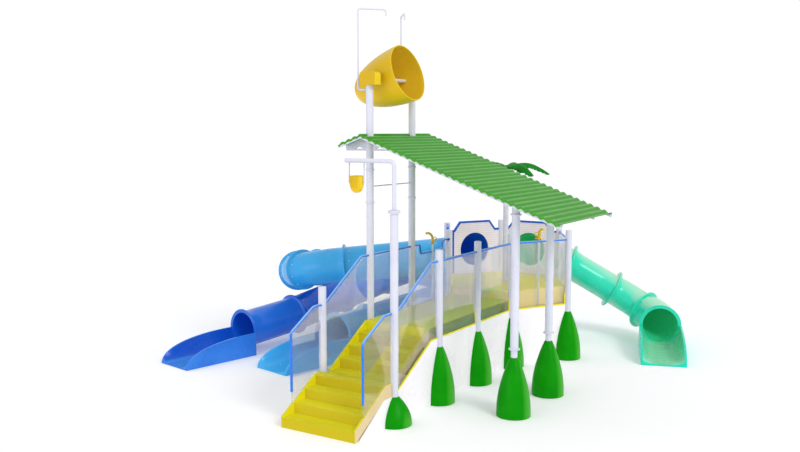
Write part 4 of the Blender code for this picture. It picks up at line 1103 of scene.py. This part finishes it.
def frond(name, degrees):
    """Middle z = RISE sin(...) - DROOP u^2.2; half width = w (1 - |2 u^0.8 - 1|^3)^0.6, notched; sides hang as v^2."""
    u = np.linspace(0.0, 1, 49)[:, None]
    v = np.linspace(-1, 1, 13)[None]
    away = 0.03 + FROND_LONG * u
    notch = 1 - 0.34 * np.mod(u * LEAFLETS, 1.0)
    half = 0.014 + FROND_WIDE * (1 - abs(2 * u ** 0.8 - 1) ** 3) ** 0.6 * notch
    middle = CROWN_Z + 0.055 + RISE * np.sin(np.minimum(u * 1.5, 1) * np.pi / 2) - DROOP * u ** 2.2
    height = middle - 0.85 * half * v ** 2
    t = math.radians(degrees)
    out, side = np.array([math.cos(t), math.sin(t), 0]), np.array([-math.sin(t), math.cos(t), 0])
    top = trunk_foot + (away + 0 * v)[..., None] * out + (half * v)[..., None] * side + height[..., None] * UP
    under = top[:, ::-1] - [0, 0, 0.008]
    return skin(name, np.concatenate([top, under], axis=1), capped=True, soft_angle=50)


for number in range(6):
    hand_over(frond(f"frond_{number}", 32 + 60 * number), frond_green, stands_for=("palm_crown",))
hub = eased([(0.0, 4.0804), (0.055, 4.082), (0.075, 4.12), (0.05, 4.16), (0.0, 4.175)], 5)
hand_over(lathe("crown_hub", hub, trunk_foot, 32), frond_green)
print("palm made")

# %% [markdown]
# ## Studio
# The picture is a bright catalogue view: white all round, soft light from every side, a little more from
# the right, so faces that look right are the brightest, and a faint one from the front. The floor is a pale
# sheet that only shows as a faint shadow under the tower. White that the camera sees is brighter than the
# white that lights the tower, and what the guards pass on and the gel coats mirror lies between the two.

# %% Floor
HALF_WIDE, NEAR, FAR, FLOOR_Z = 60, -40, 90, -0.002
floor_grid = [[(-HALF_WIDE, y, FLOOR_Z), (HALF_WIDE, y, FLOOR_Z)] for y in (NEAR, FAR)]
floor = skin("floor", floor_grid, round_across=False)
floor.data.materials.append(finish("floor_white", "#F8F8FA", "#FCFCFD", patch=0.2, gloss=(0.8, 0.9), relief=0.0,
                                   shine=0.0, glow="#707072"))
print("floor laid")

# %% White surroundings
LIGHTING, SEEN, MIRRORED = 0.77, 1.05, 0.16
world = bpy.data.worlds.new("studio")
bpy.context.scene.world = world
world.use_nodes = True
sky = world.node_tree
backdrop = sky.nodes["Background"]
backdrop.inputs["Color"].default_value = (1.0, 1.0, 1.0, 1.0)
ray = add(sky, "LightPath").outputs
level = spread(sky, ray["Is Camera Ray"], LIGHTING, SEEN, 0, 1)
for kind in ("Is Transmission Ray", "Is Glossy Ray"):
    total = add(sky, "Math", operation="ADD")
    sky.links.new(level, total.inputs[0])
    sky.links.new(spread(sky, ray[kind], 0, MIRRORED, 0, 1), total.inputs[1])
    level = total.outputs[0]
sky.links.new(level, backdrop.inputs["Strength"])
print("surroundings ready")


# %% Two windows
def window(name, energy, aim, softness):
    """A far lamp that looks along a direction, as wide as softness in degrees."""
    data = bpy.data.lights.new(name, "SUN")
    data.energy, data.angle = energy, math.radians(softness)
    light = bpy.data.objects.new(name, data)
    light.rotation_euler = Vector(aim).to_track_quat("-Z", "Y").to_euler()
    bpy.context.scene.collection.objects.link(light)


window("window_right", 1.12, (-0.80, 0.30, -0.65), 20)
window("window_front", 0.48, (0.25, 0.95, -0.12), 40)
print("windows:", len(bpy.data.lights))

# %% Camera at the photograph's view
FOCAL_PX, PICTURE_PX, SENSOR = 901, 800, 36.0
camera_data = bpy.data.cameras.new("camera")
camera_data.sensor_width = SENSOR
camera_data.lens = FOCAL_PX / PICTURE_PX * SENSOR
camera_data.clip_end = 300
camera = bpy.data.objects.new("camera", camera_data)
camera.location = (7.99, -13.949, 4.923)
camera.rotation_euler = (math.pi / 2 - 0.105, 0, 0.5641)
bpy.context.scene.collection.objects.link(camera)
bpy.context.scene.camera = camera
bpy.context.scene.view_settings.view_transform = "Standard"
print("lens in mm:", round(camera_data.lens, 2))
